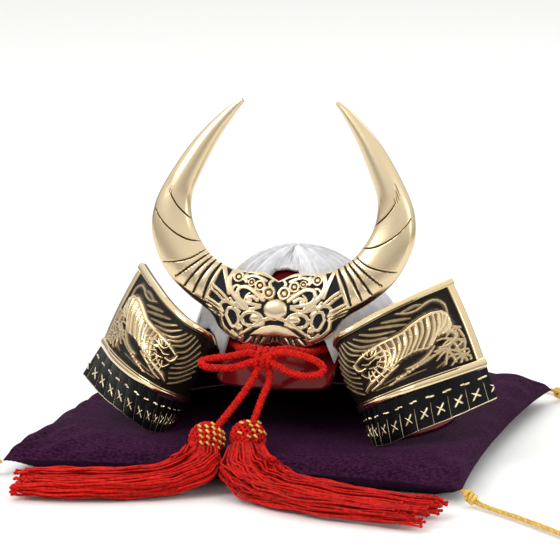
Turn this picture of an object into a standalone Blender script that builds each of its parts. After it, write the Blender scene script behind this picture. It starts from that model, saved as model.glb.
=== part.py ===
"""Display kabuto: a small cast samurai helmet with a horned demon crest, on its cushion.

Run with: blender --background --python part.py
Metres, +Z up. The helmet faces -Y. The origin is the centre of the cushion's flat underside.
"""

import math
from collections import namedtuple

import bmesh
import bpy
from mathutils import Vector

MM = 0.001
GAP = 0.3 * MM  # between neighbouring pieces

# Cushion
CUSHION_SIDE = 245 * MM
CUSHION_THICKNESS = 21.5 * MM
SEAM_HEIGHT = 9.5 * MM
DISH_DEPTH = 5 * MM  # how far the helmet presses the cushion's middle down
EDGE_PULL = 5 * MM  # how far each side draws in between two corners
UNDERSIDE_INSET = 11 * MM
TUFT = 3.8 * MM  # diameter of the yellow cords at the corners

# Helmet's own axis on the cushion
HELMET_X = 8 * MM
HELMET_Y = -16 * MM

# Bowl, an ellipse in plan
BOWL_Y = 5 * MM
BOWL_HALF_WIDTH = 44 * MM
BOWL_HALF_LENGTH = 43 * MM
BOWL_HEIGHT = 48 * MM
BOWL_WALL = 2 * MM
RIM_HEIGHT = 39.7 * MM  # above the lowest metal

# Visor below the crest
VISOR_HALF_WIDTH = 31.5 * MM
VISOR_REACH = 16 * MM
VISOR_DROP = 14 * MM
VISOR_CURVE = 8 * MM  # how far its middle stands ahead of its corners
VISOR_WALL = 1.8 * MM

# Neck guard of three lames
LAME_WALL = 1.5 * MM
LAME_OVERLAP = 2.5 * MM
LAME_TUCKS = (0, 4.6 * MM, 5.8 * MM)  # how far each lame's top leans in under the one above
GUARD_TOP_OFF = 0.8 * MM  # how far its top edge stands out from the rim
GUARD_SIDE_FLARE = 42.6 * MM
GUARD_BACK_FLARE = 36 * MM
GUARD_FRONT_FLARE = 39.5 * MM

# Turned-back side panels, with a laced band below each
WING_REACH = 114.4 * MM
WING_FRONT = 65 * MM
WING_HEIGHT = 79.6 * MM
PANEL_WALL = 2 * MM
PANEL_BULGE = 3 * MM
RAIL_RAISE = 1.3 * MM
RELIEF_RAISE = 1.2 * MM
BAND_WALL = 1.6 * MM

# Crest: two horns and a demon face in one casting
CREST_HALF_WIDTH = 72 * MM
CREST_HEIGHT = 127.4 * MM
CREST_LEAN = 0.237  # metres back for each metre up
CREST_EDGE = 2.4 * MM
HORN_CROWN = 3.2 * MM
FACE_CROWN = 4.2 * MM
FACE_RAISE = 2.2 * MM
CREST_ABOVE_RIM = 5.6 * MM
CREST_TO_BOWL = 4 * MM
POST_RADIUS = 3.5 * MM
POST_HEIGHT = 8 * MM  # above the crest's foot

# Hair over the bowl
HAIR_THICKNESS = 2.9 * MM
HAIR_CLEARANCE = 2.1 * MM  # between the bowl and the hair
HAIR_OVER_GUARD = 2.4 * MM  # between the neck guard and the hair
CAP_SHARE = 0.56  # how much of a lock lies on the bowl
CAP_TURN = math.radians(78)  # where that part ends, from the crown
LOCK_DEPTH = 0.8 * MM

# Red cord and tassels
CORD = 4.6 * MM
KNOT_HALF_WIDTH = 7.5 * MM
KNOT_HALF_DEPTH = 6 * MM
KNOT_HALF_HEIGHT = 6.8 * MM
TASSEL_HEAD = 9.5 * MM
SKIRT_HALF_WIDTH = 17 * MM
SKIRT_HALF_THICKNESS = 4.2 * MM

DISH_Z = CUSHION_THICKNESS - DISH_DEPTH
BASE_Z = DISH_Z + GAP  # the lowest metal
RIM_Z = BASE_Z + RIM_HEIGHT
CREST_Z = RIM_Z + CREST_ABOVE_RIM
CREST_Y = BOWL_Y - BOWL_HALF_LENGTH - CREST_TO_BOWL  # the crest's back at its foot
LOOP_Z = RIM_Z + CORD / 2 + 3.5 * MM

# How the wing runs, from the guard, forward, round the bend and back out to its outer end.
# x is a share of WING_REACH, y of WING_FRONT and z of WING_HEIGHT above the lowest metal.
Station = namedtuple("Station", "top_x top_y top_z low_x low_y low_z band_x band_y band_z")
WING = (
    Station(0.350, -0.31, 0.520, 0.452, -0.52, 0.152, 0.504, -0.615, 0.003),
    Station(0.312, -0.53, 0.548, 0.436, -0.68, 0.160, 0.500, -0.770, 0.003),
    Station(0.294, -0.72, 0.640, 0.430, -0.80, 0.186, 0.496, -0.877, 0.003),
    Station(0.322, -0.84, 0.712, 0.465, -0.92, 0.230, 0.518, -0.975, 0.003),
    Station(0.387, -0.874, 0.776, 0.539, -0.977, 0.288, 0.575, -0.968, 0.018),
    Station(0.499, -0.73, 0.868, 0.661, -0.885, 0.356, 0.696, -0.854, 0.093),
    Station(0.623, -0.408, 0.943, 0.800, -0.592, 0.402, 0.843, -0.630, 0.165),
    Station(0.743, -0.046, 1.000, 0.932, -0.160, 0.428, 1.000, -0.300, 0.246),
)
WING_ROWS = (0, 0.05, 0.1, 0.14, 0.3, 0.5, 0.7, 0.86, 0.9, 0.95, 1)
RAIL_SHARE = 0.12
BAND_TOP_GAP = 4 * GAP
BAND_SHARE = 0.23  # a band's drop as a share of the panel's height

# One half of the crest, from the middle of the face to the horn's tip.
# x is a share of CREST_HALF_WIDTH and z of CREST_HEIGHT.
Section = namedtuple("Section", "outer_x outer_z inner_x inner_z")
CREST = (
    Section(0.000, 0.020, 0.000, 0.265),
    Section(0.161, 0.000, 0.122, 0.298),
    Section(0.311, 0.024, 0.236, 0.298),
    Section(0.426, 0.066, 0.340, 0.307),
    Section(0.510, 0.130, 0.396, 0.316),
    Section(0.703, 0.202, 0.521, 0.355),
    Section(0.878, 0.298, 0.618, 0.416),
    Section(0.986, 0.427, 0.694, 0.502),
    Section(0.990, 0.537, 0.706, 0.596),
    Section(0.917, 0.647, 0.660, 0.678),
    Section(0.722, 0.819, 0.535, 0.827),
    Section(0.500, 0.949, 0.414, 0.937),
    Section(0.364, 1.000, 0.350, 0.986),
)
FACE_SHARE = 0.36  # how much of each half belongs to the face

# Raised forms of the face, each on both sides: shares of CREST_HALF_WIDTH, from the foot's middle.
Bump = namedtuple("Bump", "x z half_width half_height rise hollow")
FACE = (
    Bump(0.000, 0.257, 0.084, 0.084, 1.9, False),
    Bump(0.058, 0.360, 0.057, 0.057, 0.9, False),
    Bump(0.137, 0.418, 0.048, 0.048, 0.8, False),
    Bump(0.200, 0.447, 0.034, 0.034, 0.6, False),
    Bump(0.300, 0.483, 0.046, 0.046, 0.7, False),
    Bump(0.178, 0.172, 0.085, 0.055, 1.0, True),
    Bump(0.200, 0.340, 0.105, 0.060, 0.7, True),
    Bump(0.332, 0.170, 0.045, 0.070, 0.8, True),
    Bump(0.285, 0.112, 0.032, 0.034, 0.7, False),
    Bump(0.000, 0.105, 0.210, 0.050, 0.9, False),
    Bump(0.150, 0.035, 0.150, 0.034, 0.6, False),
    Bump(0.440, 0.370, 0.085, 0.036, 0.6, False),
    Bump(0.490, 0.290, 0.100, 0.034, 0.6, False),
)

# The hair's hem: how high it ends above the lowest metal, by the angle from the front in degrees.
HEM = (
    (0, 84),
    (15, 83),
    (22, 72),
    (29, 52),
    (35, 38.5),
    (40, 48.5),
    (46, 52),
    (66, 51),
    (75, 34),
    (97, 27),
    (130, 20),
    (180, 16),
)

# Cords, by hand: (x, y, z) in millimetres in the helmet's frame, after the knot's own place.
KNOT = (-1, -62, 60.5)
LOOP_LEFT = (
    (-6.3, -57, 63.9),
    (-11.6, -53.4, 63.8),
    (-16.4, -48.6, 62),
    (-20, -42.4, 60.6),
    (-23.8, -35, 60.8),
    (-30.2, -29.6, 61.6),
)
LOOP_RIGHT = (
    (4.3, -57, 63.9),
    (9.8, -53.4, 63.8),
    (15.6, -48.6, 62),
    (19.8, -42.4, 60.6),
    (23.8, -35, 60.8),
    (30.2, -29.6, 61.6),
)
BOW_LEFT = (
    (-8.7, -64.5, 63.3),
    (-13.5, -66, 62.3),
    (-20, -67.2, 60.8),
    (-26.1, -68, 60),
    (-32.5, -70.4, 58.6),
    (-30.1, -73.6, 56.6),
    (-23, -73.4, 56),
    (-14.5, -70, 56.2),
    (-7.6, -65.6, 58.3),
)
BOW_RIGHT = (
    (6.3, -64.1, 63.6),
    (12, -65.6, 64.4),
    (20, -66.6, 63.6),
    (28, -67.2, 61.4),
    (32.6, -68.2, 58),
    (30.5, -70, 54.8),
    (23, -70.4, 53.6),
    (14, -69, 55),
    (5.5, -65.5, 58.1),
)
DROP_LEFT = ((-3.8, -64.3, 54.1), (-7.4, -69.4, 46.6), (-12.6, -79.6, 37.6), (-18.35, -90.45, 28.8))
DROP_RIGHT = ((2.2, -62.3, 53), (2.4, -65, 48), (0.8, -73, 41), (-0.65, -84.65, 30.6))

# Tassels: the path of each skirt in millimetres in the helmet's frame.
HEAD_LEFT = (-22, -97.4, 23.2)
HEAD_RIGHT = (-1.5, -91.8, 24.2)
SKIRT_LEFT = (
    (-21.6, -110, 16.6),
    (-26, -115.6, 10.4),
    (-34, -120.6, 6.4),
    (-46, -127, 4.9),
    (-62, -133, 4.6),
    (-80, -137.6, 4.6),
    (-97, -140.6, 4.6),
    (-111, -143, 4.6),
)
SKIRT_RIGHT = (
    (2.4, -108.4, 17.2),
    (5.6, -113.4, 11.4),
    (11.4, -117.4, 7),
    (21, -122.6, 4.9),
    (36, -131, 4.6),
    (58, -140, 4.6),
    (84, -146.4, 4.6),
    (110, -150.4, 4.6),
)

# Corner cords: (outward x, outward y, z) in millimetres from the cushion's corner.
TUFT_ROUTE = ((0.4, 0.4, 7.5), (6.4, 4.6, 4.4), (13, 9, 2.4), (32, 25, 2.2), (56, 48, 2.2), (72, 66, 2.2))
TUFT_ROUTE_BACK = ((0.4, 0.4, 7.5), (3.6, 6, 4.4), (4, 13, 2.4), (-8, 26, 2.2), (-34, 33, 2.2), (-62, 36, 2.2))

DARK_RED = ((0.17, 0.012, 0.014), 0.2, 0.0)
GOLD = ((0.78, 0.63, 0.4), 0.2, 1.0)
OLD_GOLD = ((0.4, 0.31, 0.19), 0.32, 1.0)
BLACK_METAL = ((0.02, 0.02, 0.022), 0.35, 0.5)
WHITE_HAIR = ((0.88, 0.88, 0.88), 0.55, 0.0)
RED_CORD = ((0.66, 0.02, 0.015), 0.7, 0.0)
PURPLE = ((0.06, 0.02, 0.09), 0.85, 0.0)
YELLOW = ((0.8, 0.58, 0.2), 0.6, 0.0)


def clear_scene():
    for old in list(bpy.data.objects):
        bpy.data.objects.remove(old, do_unlink=True)


def material(name, finish):
    """A plain Principled material from a (colour, roughness, metallic) triple."""
    made = bpy.data.materials.get(name)
    if made:
        return made
    made = bpy.data.materials.new(name)
    made.use_nodes = True
    colour, roughness, metallic = finish
    shader = made.node_tree.nodes["Principled BSDF"]
    shader.inputs["Base Color"].default_value = (*colour, 1)
    shader.inputs["Roughness"].default_value = roughness
    shader.inputs["Metallic"].default_value = metallic
    return made


def add(name, data, look, finish, parent=None):
    made = bpy.data.objects.new(name, data)
    data.materials.append(material(look, finish))
    bpy.data.collections["display_kabuto"].objects.link(made)
    made.parent = parent
    return made


def finished(bm, name, look, finish, parent=None):
    """Turns a bmesh into a smooth-shaded object whose faces point out."""
    bmesh.ops.remove_doubles(bm, verts=bm.verts, dist=0.01 * MM)
    bmesh.ops.recalc_face_normals(bm, faces=bm.faces)
    mesh = bpy.data.meshes.new(name)
    bm.to_mesh(mesh)
    bm.free()
    mesh.shade_smooth()
    mesh.set_sharp_from_angle(angle=math.radians(40))
    return add(name, mesh, look, finish, parent)


def clamp(value, low=0.0, high=1.0):
    return max(low, min(high, value))


def ease(value):
    value = clamp(value)
    return value * value * (3 - 2 * value)


def mix(a, b, share):
    return a + (b - a) * share


def table_at(rows, key):
    """Reads a table of (key, value) rows, smoothly between two rows."""
    for (low, before), (high, after) in zip(rows, rows[1:]):
        if key <= high:
            return mix(before, after, ease((key - low) / (high - low)))
    return rows[-1][1]


def spline_at(rows, t):
    """Catmull-Rom through rows of equal length, with t from 0 to 1."""
    place = clamp(t) * (len(rows) - 1)
    i = min(int(place), len(rows) - 2)
    f = place - i
    b, c = rows[i], rows[i + 1]
    a = rows[i - 1] if i else [2 * q - r for q, r in zip(b, c)]
    d = rows[i + 2] if i + 2 < len(rows) else [2 * r - q for q, r in zip(b, c)]
    return [
        0.5 * (2 * q + (r - p) * f + (2 * p - 5 * q + 4 * r - s) * f * f + (3 * q - p - 3 * r + s) * f**3)
        for p, q, r, s in zip(a, b, c, d)
    ]


def shares(count):
    return [i / count for i in range(count + 1)]


def sheet(name, surface, columns, rows, wall, look, finish, parent):
    """A grid laid over surface(u, v) and given its thickness, inwards, by Solidify."""
    bm = bmesh.new()
    bmesh.ops.create_grid(bm, x_segments=columns, y_segments=rows, size=0.5)
    for corner in bm.verts:
        corner.co = surface(corner.co.x + 0.5, corner.co.y + 0.5)
    mesh = bpy.data.meshes.new(name)
    bm.to_mesh(mesh)
    bm.free()
    mesh.shade_smooth()
    made = add(name, mesh, look, finish, parent)
    shell = made.modifiers.new("wall", "SOLIDIFY")
    shell.thickness = wall
    shell.offset = -1
    return made


def slab(name, front, back, us, vs, look, finish, parent):
    """A closed plate between two unlike surfaces over the same (u, v)."""
    bm = bmesh.new()
    sides = [[[bm.verts.new(surface(u, v)) for u in us] for v in vs] for surface in (front, back)]
    for grid in sides:
        for low, high in zip(grid, grid[1:]):
            for i in range(len(us) - 1):
                bm.faces.new((low[i], low[i + 1], high[i + 1], high[i]))
    near, far = sides
    for row in (0, -1):
        for i in range(len(us) - 1):
            bm.faces.new((near[row][i], near[row][i + 1], far[row][i + 1], far[row][i]))
    for i in (0, -1):
        for j in range(len(vs) - 1):
            bm.faces.new((near[j][i], near[j + 1][i], far[j + 1][i], far[j][i]))
    return finished(bm, name, look, finish, parent)


def loft(name, rings, look, finish, parent):
    """Skins rings of points, with a flat cap at each end."""
    bm = bmesh.new()
    made = [[bm.verts.new(p) for p in ring] for ring in rings]
    count = len(rings[0])
    for lower, upper in zip(made, made[1:]):
        for i in range(count):
            j = (i + 1) % count
            bm.faces.new((lower[i], lower[j], upper[j], upper[i]))
    bm.faces.new(made[0])
    bm.faces.new(made[-1])
    return finished(bm, name, look, finish, parent)


def tube(name, route, count, diameter, look, finish, parent=None):
    """A cord as a bevelled curve on a smooth line through a route in metres."""
    curve = bpy.data.curves.new(name, "CURVE")
    curve.dimensions = "3D"
    curve.bevel_depth = diameter / 2
    curve.bevel_resolution = 2
    curve.use_fill_caps = True
    spline = curve.splines.new("POLY")
    spline.points.add(count - 1)
    for place, t in zip(spline.points, shares(count - 1)):
        place.co = (*spline_at(route, t), 1)
    return add(name, curve, look, finish, parent)


def in_metres(points):
    return [Vector(p) * MM for p in points]


def cushion_surface(x, y, u, v):
    """The cushion's upper surface at (x, y), with u and v its shares of the half side."""
    seam = SEAM_HEIGHT * (1 - 0.2 * (u * v) ** 4)
    pillow = seam + (CUSHION_THICKNESS - seam) * (1 - u**4) * (1 - v**4)
    reach_x = BOWL_HALF_WIDTH + GUARD_SIDE_FLARE + 8 * MM
    reach_y = BOWL_HALF_LENGTH + GUARD_BACK_FLARE
    reach = math.hypot((x - HELMET_X) / reach_x, (y - HELMET_Y - BOWL_Y) / reach_y)
    return min(pillow, DISH_Z + DISH_DEPTH * ease((reach - 1.2) / 0.3))


def make_cushion():
    """A square sheet bowed over its filling, its border turned under to the flat base."""
    half = CUSHION_SIDE / 2
    bm = bmesh.new()
    bmesh.ops.create_grid(bm, x_segments=16, y_segments=16, size=1)
    for corner in bm.verts:
        u, v = corner.co.x, corner.co.y
        u = math.copysign(abs(u) ** 0.8, u)
        v = math.copysign(abs(v) ** 0.8, v)
        x = u * (half - EDGE_PULL * (1 - v * v) * u * u)
        y = v * (half - EDGE_PULL * (1 - u * u) * v * v)
        corner.co = (x, y, cushion_surface(x, y, abs(u), abs(v)))
    for inset, share in ((UNDERSIDE_INSET * 0.3, 0.35), (UNDERSIDE_INSET, 0)):
        border = [edge for edge in bm.edges if edge.is_boundary]
        turned = bmesh.ops.extrude_edge_only(bm, edges=border)["geom"]
        for corner in (item for item in turned if isinstance(item, bmesh.types.BMVert)):
            shrink = 1 - inset / half
            corner.co = (corner.co.x * shrink, corner.co.y * shrink, corner.co.z * share)
    bmesh.ops.holes_fill(bm, edges=[edge for edge in bm.edges if edge.is_boundary])
    return finished(bm, "cushion", "purple_cloth", PURPLE)


def make_bowl(helmet):
    """The upper half of a sphere, stretched and hollowed."""
    bm = bmesh.new()
    bmesh.ops.create_uvsphere(bm, u_segments=28, v_segments=14, radius=1)
    everything = bm.verts[:] + bm.edges[:] + bm.faces[:]
    bmesh.ops.bisect_plane(bm, geom=everything, plane_co=(0, 0, 0), plane_no=(0, 0, 1), clear_inner=True)
    bmesh.ops.scale(bm, vec=(BOWL_HALF_WIDTH, BOWL_HALF_LENGTH, BOWL_HEIGHT), verts=bm.verts)
    made = finished(bm, "bowl", "dark_red_lacquer", DARK_RED, helmet)
    made.location = (0, BOWL_Y, RIM_Z)
    shell = made.modifiers.new("wall", "SOLIDIFY")
    shell.thickness = BOWL_WALL
    shell.offset = -1
    return made


def make_visor(helmet):
    """A curved peak from the bowl's front rim down and forward."""
    top_z = RIM_Z - 2 * GAP

    def surface(u, v):
        side = 1 - 2 * u
        x = side * mix(VISOR_HALF_WIDTH + GAP, VISOR_HALF_WIDTH, v)
        rim_y = BOWL_Y - BOWL_HALF_LENGTH * math.sqrt(1 - (x / BOWL_HALF_WIDTH) ** 2)
        low_y = BOWL_Y - BOWL_HALF_LENGTH - VISOR_REACH + VISOR_CURVE * side * side
        corner_rise = VISOR_DROP * 0.45 * max(0.0, abs(side) - 0.8) ** 2 / 0.04 * v
        return Vector((x, mix(rim_y, low_y, v**0.9), top_z - VISOR_DROP * v + corner_rise * 0.5))

    return sheet("visor", surface, 16, 4, VISOR_WALL, "dark_red_lacquer", DARK_RED, helmet)


def guard_radii(z):
    """Half width, half length behind and half length ahead of the neck guard's outside at a height."""
    drop = (RIM_Z - z) / RIM_HEIGHT
    width = BOWL_HALF_WIDTH + GUARD_TOP_OFF + GUARD_SIDE_FLARE * drop
    back = BOWL_HALF_LENGTH + GUARD_TOP_OFF + GUARD_BACK_FLARE * drop
    front = BOWL_HALF_LENGTH + GUARD_TOP_OFF + GUARD_FRONT_FLARE * drop
    return width, back, front


def lame_end_x(z):
    """How far out a lame ends at a height, just clear of the wing's back end."""
    share = (z - BASE_Z) / WING_HEIGHT
    back = WING[0]
    if share < back.low_z:
        x = mix(back.band_x, back.low_x, share / back.low_z)
    else:
        x = mix(back.low_x, back.top_x, (share - back.low_z) / (back.top_z - back.low_z))
    return WING_REACH * x + PANEL_WALL + 6 * GAP


def make_lames(helmet):
    """Three flared bands, each tucked under the one above it."""
    names = ("lame_top", "lame_middle", "lame_bottom")
    step = (RIM_HEIGHT - GAP - LAME_WALL) / len(names)
    made = []
    for i, name in enumerate(names):
        high = RIM_Z - GAP - step * i + (LAME_OVERLAP if i else 0)
        low = RIM_Z - GAP - step * (i + 1)
        tuck = LAME_TUCKS[i]

        def surface(u, v, high=high, low=low, tuck=tuck):
            z = mix(low, high, v)
            width, back, front = (radius - tuck * v for radius in guard_radii(z))
            start = math.asin(lame_end_x(z) / width)
            turn = mix(start, 2 * math.pi - start, u)
            length = front if math.cos(turn) > 0 else back
            return Vector((width * math.sin(turn), BOWL_Y - length * math.cos(turn), z))

        made.append(sheet(name, surface, 30, 1, LAME_WALL, "dark_red_lacquer", DARK_RED, helmet))
    return made


def wing_point(u, w):
    """The wing's outer face for the right side: w is 0 at the top, 1 below the panel, 2 below the band."""
    top_x, top_y, top_z, low_x, low_y, low_z, band_x, band_y, band_z = spline_at(WING, u)
    top = Vector((top_x * WING_REACH, top_y * WING_FRONT, BASE_Z + top_z * WING_HEIGHT))
    low = Vector((low_x * WING_REACH, low_y * WING_FRONT, BASE_Z + low_z * WING_HEIGHT))
    band = Vector((band_x * WING_REACH, band_y * WING_FRONT, BASE_Z + band_z * WING_HEIGHT))
    return top.lerp(low, w) if w <= 1 else low.lerp(band, w - 1)


def wing_normal(u, w):
    """The outward direction on the right wing's outer face."""
    step = 0.01
    along = wing_point(min(u + step, 1), w) - wing_point(max(u - step, 0), w)
    inside = min(w, 0.98) if w <= 1 else max(w, 1.02)
    down = wing_point(u, inside + step) - wing_point(u, inside - step)
    return down.cross(along).normalized()


def panel_rise(u, w):
    """How far the panel's relief stands out of its field."""
    rail = max(1 - abs(edge) / RAIL_SHARE for edge in (w - 0.05, 0.95 - w, (0.985 - u) * 2))
    body = 1 - math.hypot((u - 0.72) / 0.22, (w - 0.52 - (0.72 - u) * 0.5) / 0.24)
    bulge = PANEL_BULGE * math.sin(math.pi * w) * ease((u - 0.1) / 0.25) * (1 - 0.6 * ease((u - 0.5) / 0.5))
    return bulge + max(RAIL_RAISE * ease(rail * 2), RELIEF_RAISE * ease(body * 2))


def mirrored(surface, side):
    """The same surface on the side that the sign names."""

    def placed(u, v):
        p = surface(u, v)
        return Vector((p.x * side, p.y, p.z))

    return placed


def make_wing(helmet, name, side):
    """A turned-back panel: hidden wall, bend and outer panel in one casting."""

    def front(u, w):
        return wing_point(u, w) + wing_normal(u, w) * panel_rise(u, w)

    def back(u, w):
        bulge = PANEL_BULGE * math.sin(math.pi * w) * ease((u - 0.1) / 0.25) * (1 - 0.6 * ease((u - 0.5) / 0.5))
        return wing_point(u, w) + wing_normal(u, w) * (bulge - PANEL_WALL)

    us = shares(21)
    return slab(name, mirrored(front, side), mirrored(back, side), us, WING_ROWS, "old_gold", OLD_GOLD, helmet)


def make_band(helmet, name, side):
    """The black tier that hangs below a panel."""
    below = 1 + BAND_TOP_GAP / (WING_HEIGHT * BAND_SHARE)

    def front(u, w):
        return wing_point(u, w)

    def back(u, w):
        return wing_point(u, w) - wing_normal(u, w) * BAND_WALL

    us = shares(20)
    vs = (below, 1.5, 2)
    return slab(name, mirrored(front, side), mirrored(back, side), us, vs, "black_metal", BLACK_METAL, helmet)


def face_rise(x, z):
    """The face's relief at shares of the crest's half width from the foot's middle."""
    best = 0.0
    for bump in FACE:
        reach = math.hypot((abs(x) - bump.x) / bump.half_width, (z - bump.z) / bump.half_height)
        if reach < 1:
            level = (1 - reach**4) * (ease(reach * 1.6) if bump.hollow else math.sqrt(1 - reach * reach))
            best = max(best, bump.rise * level)
    return best


def make_crest(helmet):
    """Two horns and the face between them, domed in front and flat behind."""
    face_columns, horn_columns, rows = 20, 15, 15
    half = [FACE_SHARE * t for t in shares(face_columns)]
    half += [FACE_SHARE + (1 - FACE_SHARE) * t for t in shares(horn_columns)[1:]]
    across = [(1 - math.cos(math.pi * t)) / 2 * 0.35 + t * 0.65 for t in shares(rows)]
    forward = Vector((0, -1, CREST_LEAN)).normalized()

    def back(t, v):
        outer_x, outer_z, inner_x, inner_z = spline_at(CREST, abs(t))
        x = math.copysign(mix(outer_x, inner_x, v), t) * CREST_HALF_WIDTH
        up = mix(outer_z, inner_z, v) * CREST_HEIGHT
        return Vector((x, CREST_Y + CREST_LEAN * up, CREST_Z + up))

    def front(t, v):
        p = back(t, v)
        dome = (1 - (2 * v - 1) ** 2) ** 0.8
        horn = ease((abs(t) - FACE_SHARE * 0.8) / 0.15)
        taper = 1 - 0.8 * ease((abs(t) - 0.75) / 0.25)
        crown = mix(FACE_CROWN, HORN_CROWN, horn) * dome * taper
        relief = FACE_RAISE * face_rise(p.x / CREST_HALF_WIDTH, (p.z - CREST_Z) / CREST_HALF_WIDTH)
        return p + forward * (CREST_EDGE * mix(1, 0.6, ease(abs(t))) + crown + relief * min(dome * 2, 1))

    ts = [-t for t in reversed(half[1:])] + half
    bm = bmesh.new()
    grid = [[bm.verts.new(front(t, v)) for t in ts] for v in across]
    for low, high in zip(grid, grid[1:]):
        for i in range(len(ts) - 1):
            bm.faces.new((low[i], low[i + 1], high[i + 1], high[i]))
    border = [edge for edge in bm.edges if edge.is_boundary]
    turned = bmesh.ops.extrude_edge_only(bm, edges=border)["geom"]
    for corner in (item for item in turned if isinstance(item, bmesh.types.BMVert)):
        depth = (corner.co - Vector((0, CREST_Y, CREST_Z))).dot(forward)
        corner.co -= forward * depth
    edges = [edge for edge in bm.edges if edge.is_boundary]
    bmesh.ops.contextual_create(bm, geom=edges)
    return finished(bm, "crest", "polished_gold", GOLD, helmet)


def make_post(helmet):
    """The plain boss between the bowl's front and the crest's back, square to both."""
    share = (CREST_ABOVE_RIM + POST_HEIGHT) / BOWL_HEIGHT
    seat = Vector((0, BOWL_Y - BOWL_HALF_LENGTH * math.sqrt(1 - share**2), CREST_Z + POST_HEIGHT))
    forward = Vector((0, -1, CREST_LEAN)).normalized()
    span = (Vector((0, CREST_Y, CREST_Z)) - seat).dot(forward)
    bm = bmesh.new()
    bmesh.ops.create_cone(
        bm, cap_ends=True, segments=16, radius1=POST_RADIUS, radius2=POST_RADIUS, depth=span - 3 * GAP
    )
    made = finished(bm, "crest_post", "dark_red_lacquer", DARK_RED, helmet)
    made.rotation_euler = (math.pi / 2 - math.atan(CREST_LEAN), 0, 0)
    made.location = seat + forward * (span + GAP) / 2
    return made


def hair_profile(depth):
    """The hair's inner side: (half width, half length, height) from the crown at 0 to the nape at 1."""
    over_cord = CORD + 5 * GAP
    if depth < CAP_SHARE:
        turn = CAP_TURN * depth / CAP_SHARE
        off = HAIR_CLEARANCE + over_cord * ease((math.degrees(turn) - 50) / 18)
        z = RIM_Z + (BOWL_HEIGHT + HAIR_CLEARANCE) * math.cos(turn)
        return (BOWL_HALF_WIDTH + off) * math.sin(turn), (BOWL_HALF_LENGTH + off) * math.sin(turn), z
    fall = (depth - CAP_SHARE) / (1 - CAP_SHARE)
    start_z = RIM_Z + (BOWL_HEIGHT + HAIR_CLEARANCE) * math.cos(CAP_TURN)
    z = mix(start_z, BASE_Z + HEM[-1][1] * MM, fall)
    width, back, _ = guard_radii(min(z, RIM_Z))
    loop_width = BOWL_HALF_WIDTH + over_cord + HAIR_CLEARANCE
    loop_length = BOWL_HALF_LENGTH + over_cord + HAIR_CLEARANCE
    return max(width + HAIR_OVER_GUARD, loop_width), max(back + HAIR_OVER_GUARD, loop_length), z


def make_hair(helmet):
    """A cap of long hair in locks, parted at the front and open over the brow."""
    half_columns, rows = 18, 8
    brow_columns, brow_angle = 8, 44
    columns = 2 * half_columns
    steps = 60
    heights = [(hair_profile(i / steps)[2], i / steps) for i in range(steps + 1)]

    def depth_at(z):
        for (above, a), (below, b) in zip(heights, heights[1:]):
            if below <= z:
                return mix(a, b, (above - z) / (above - below))
        return 1.0

    def point(k, share, lift):
        place = min(k, columns - k)
        if place <= brow_columns:
            degrees = brow_angle * place / brow_columns
        else:
            behind = (place - brow_columns) / (half_columns - brow_columns)
            degrees = mix(brow_angle, 180, behind)
        turn = math.radians(degrees if k <= half_columns else 360 - degrees)
        end = depth_at(BASE_Z + table_at(HEM, degrees) * MM)
        width, length, z = hair_profile(end * share)
        rise = lift * (HAIR_THICKNESS * (1 - 0.5 * share**4) + LOCK_DEPTH * share * math.cos(math.pi * k))
        slope = 1 - 0.75 * clamp((z - RIM_Z) / BOWL_HEIGHT) ** 2
        x = (width + rise * slope) * math.sin(turn)
        y = BOWL_Y - (length + rise * slope) * math.cos(turn)
        return Vector((x, y, z + rise * clamp((z - RIM_Z) / BOWL_HEIGHT)))

    bm = bmesh.new()
    sides = []
    for lift in (0, 1):
        crown = bm.verts.new(point(0, 0, lift))
        rings = [[bm.verts.new(point(k, j / rows, lift)) for k in range(columns)] for j in range(1, rows + 1)]
        for i in range(columns):
            bm.faces.new((crown, rings[0][i], rings[0][(i + 1) % columns]))
        for low, high in zip(rings, rings[1:]):
            for i in range(columns):
                j = (i + 1) % columns
                bm.faces.new((low[i], low[j], high[j], high[i]))
        sides.append(rings[-1])
    inner, outer = sides
    for i in range(columns):
        j = (i + 1) % columns
        bm.faces.new((inner[i], inner[j], outer[j], outer[i]))
    return finished(bm, "hair", "white_hair", WHITE_HAIR, helmet)


def loop_route():
    """The cord from the knot's left, round the bowl under the hair, to the knot's right."""
    off = CORD / 2 + GAP * 1.5
    lift = (LOOP_Z - RIM_Z) / BOWL_HEIGHT
    ring = math.sqrt(1 - lift * lift)
    route = in_metres(LOOP_LEFT)
    for degrees in range(50, 311, 20):
        turn = math.radians(degrees)
        x = -(BOWL_HALF_WIDTH * ring + off) * math.sin(turn)
        y = BOWL_Y - (BOWL_HALF_LENGTH * ring + off) * math.cos(turn)
        route.append(Vector((x, y, LOOP_Z)))
    return route + in_metres(reversed(LOOP_RIGHT))


def make_cords(helmet):
    """The red cord, its bow in front and the two ends that carry the tassels."""
    tube("cord_loop", loop_route(), 38, CORD, "red_cord", RED_CORD, helmet)
    bm = bmesh.new()
    bmesh.ops.create_uvsphere(bm, u_segments=12, v_segments=8, radius=1)
    bmesh.ops.scale(bm, vec=(KNOT_HALF_WIDTH, KNOT_HALF_DEPTH, KNOT_HALF_HEIGHT), verts=bm.verts)
    knot = finished(bm, "bow_knot", "red_cord", RED_CORD, helmet)
    knot.location = Vector(KNOT) * MM
    tube("bow_loop_left", in_metres(BOW_LEFT), 19, CORD, "red_cord", RED_CORD, helmet)
    tube("bow_loop_right", in_metres(BOW_RIGHT), 19, CORD, "red_cord", RED_CORD, helmet)
    tube("cord_drop_left", in_metres(DROP_LEFT), 8, CORD, "red_cord", RED_CORD, helmet)
    tube("cord_drop_right", in_metres(DROP_RIGHT), 8, CORD, "red_cord", RED_CORD, helmet)


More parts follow.
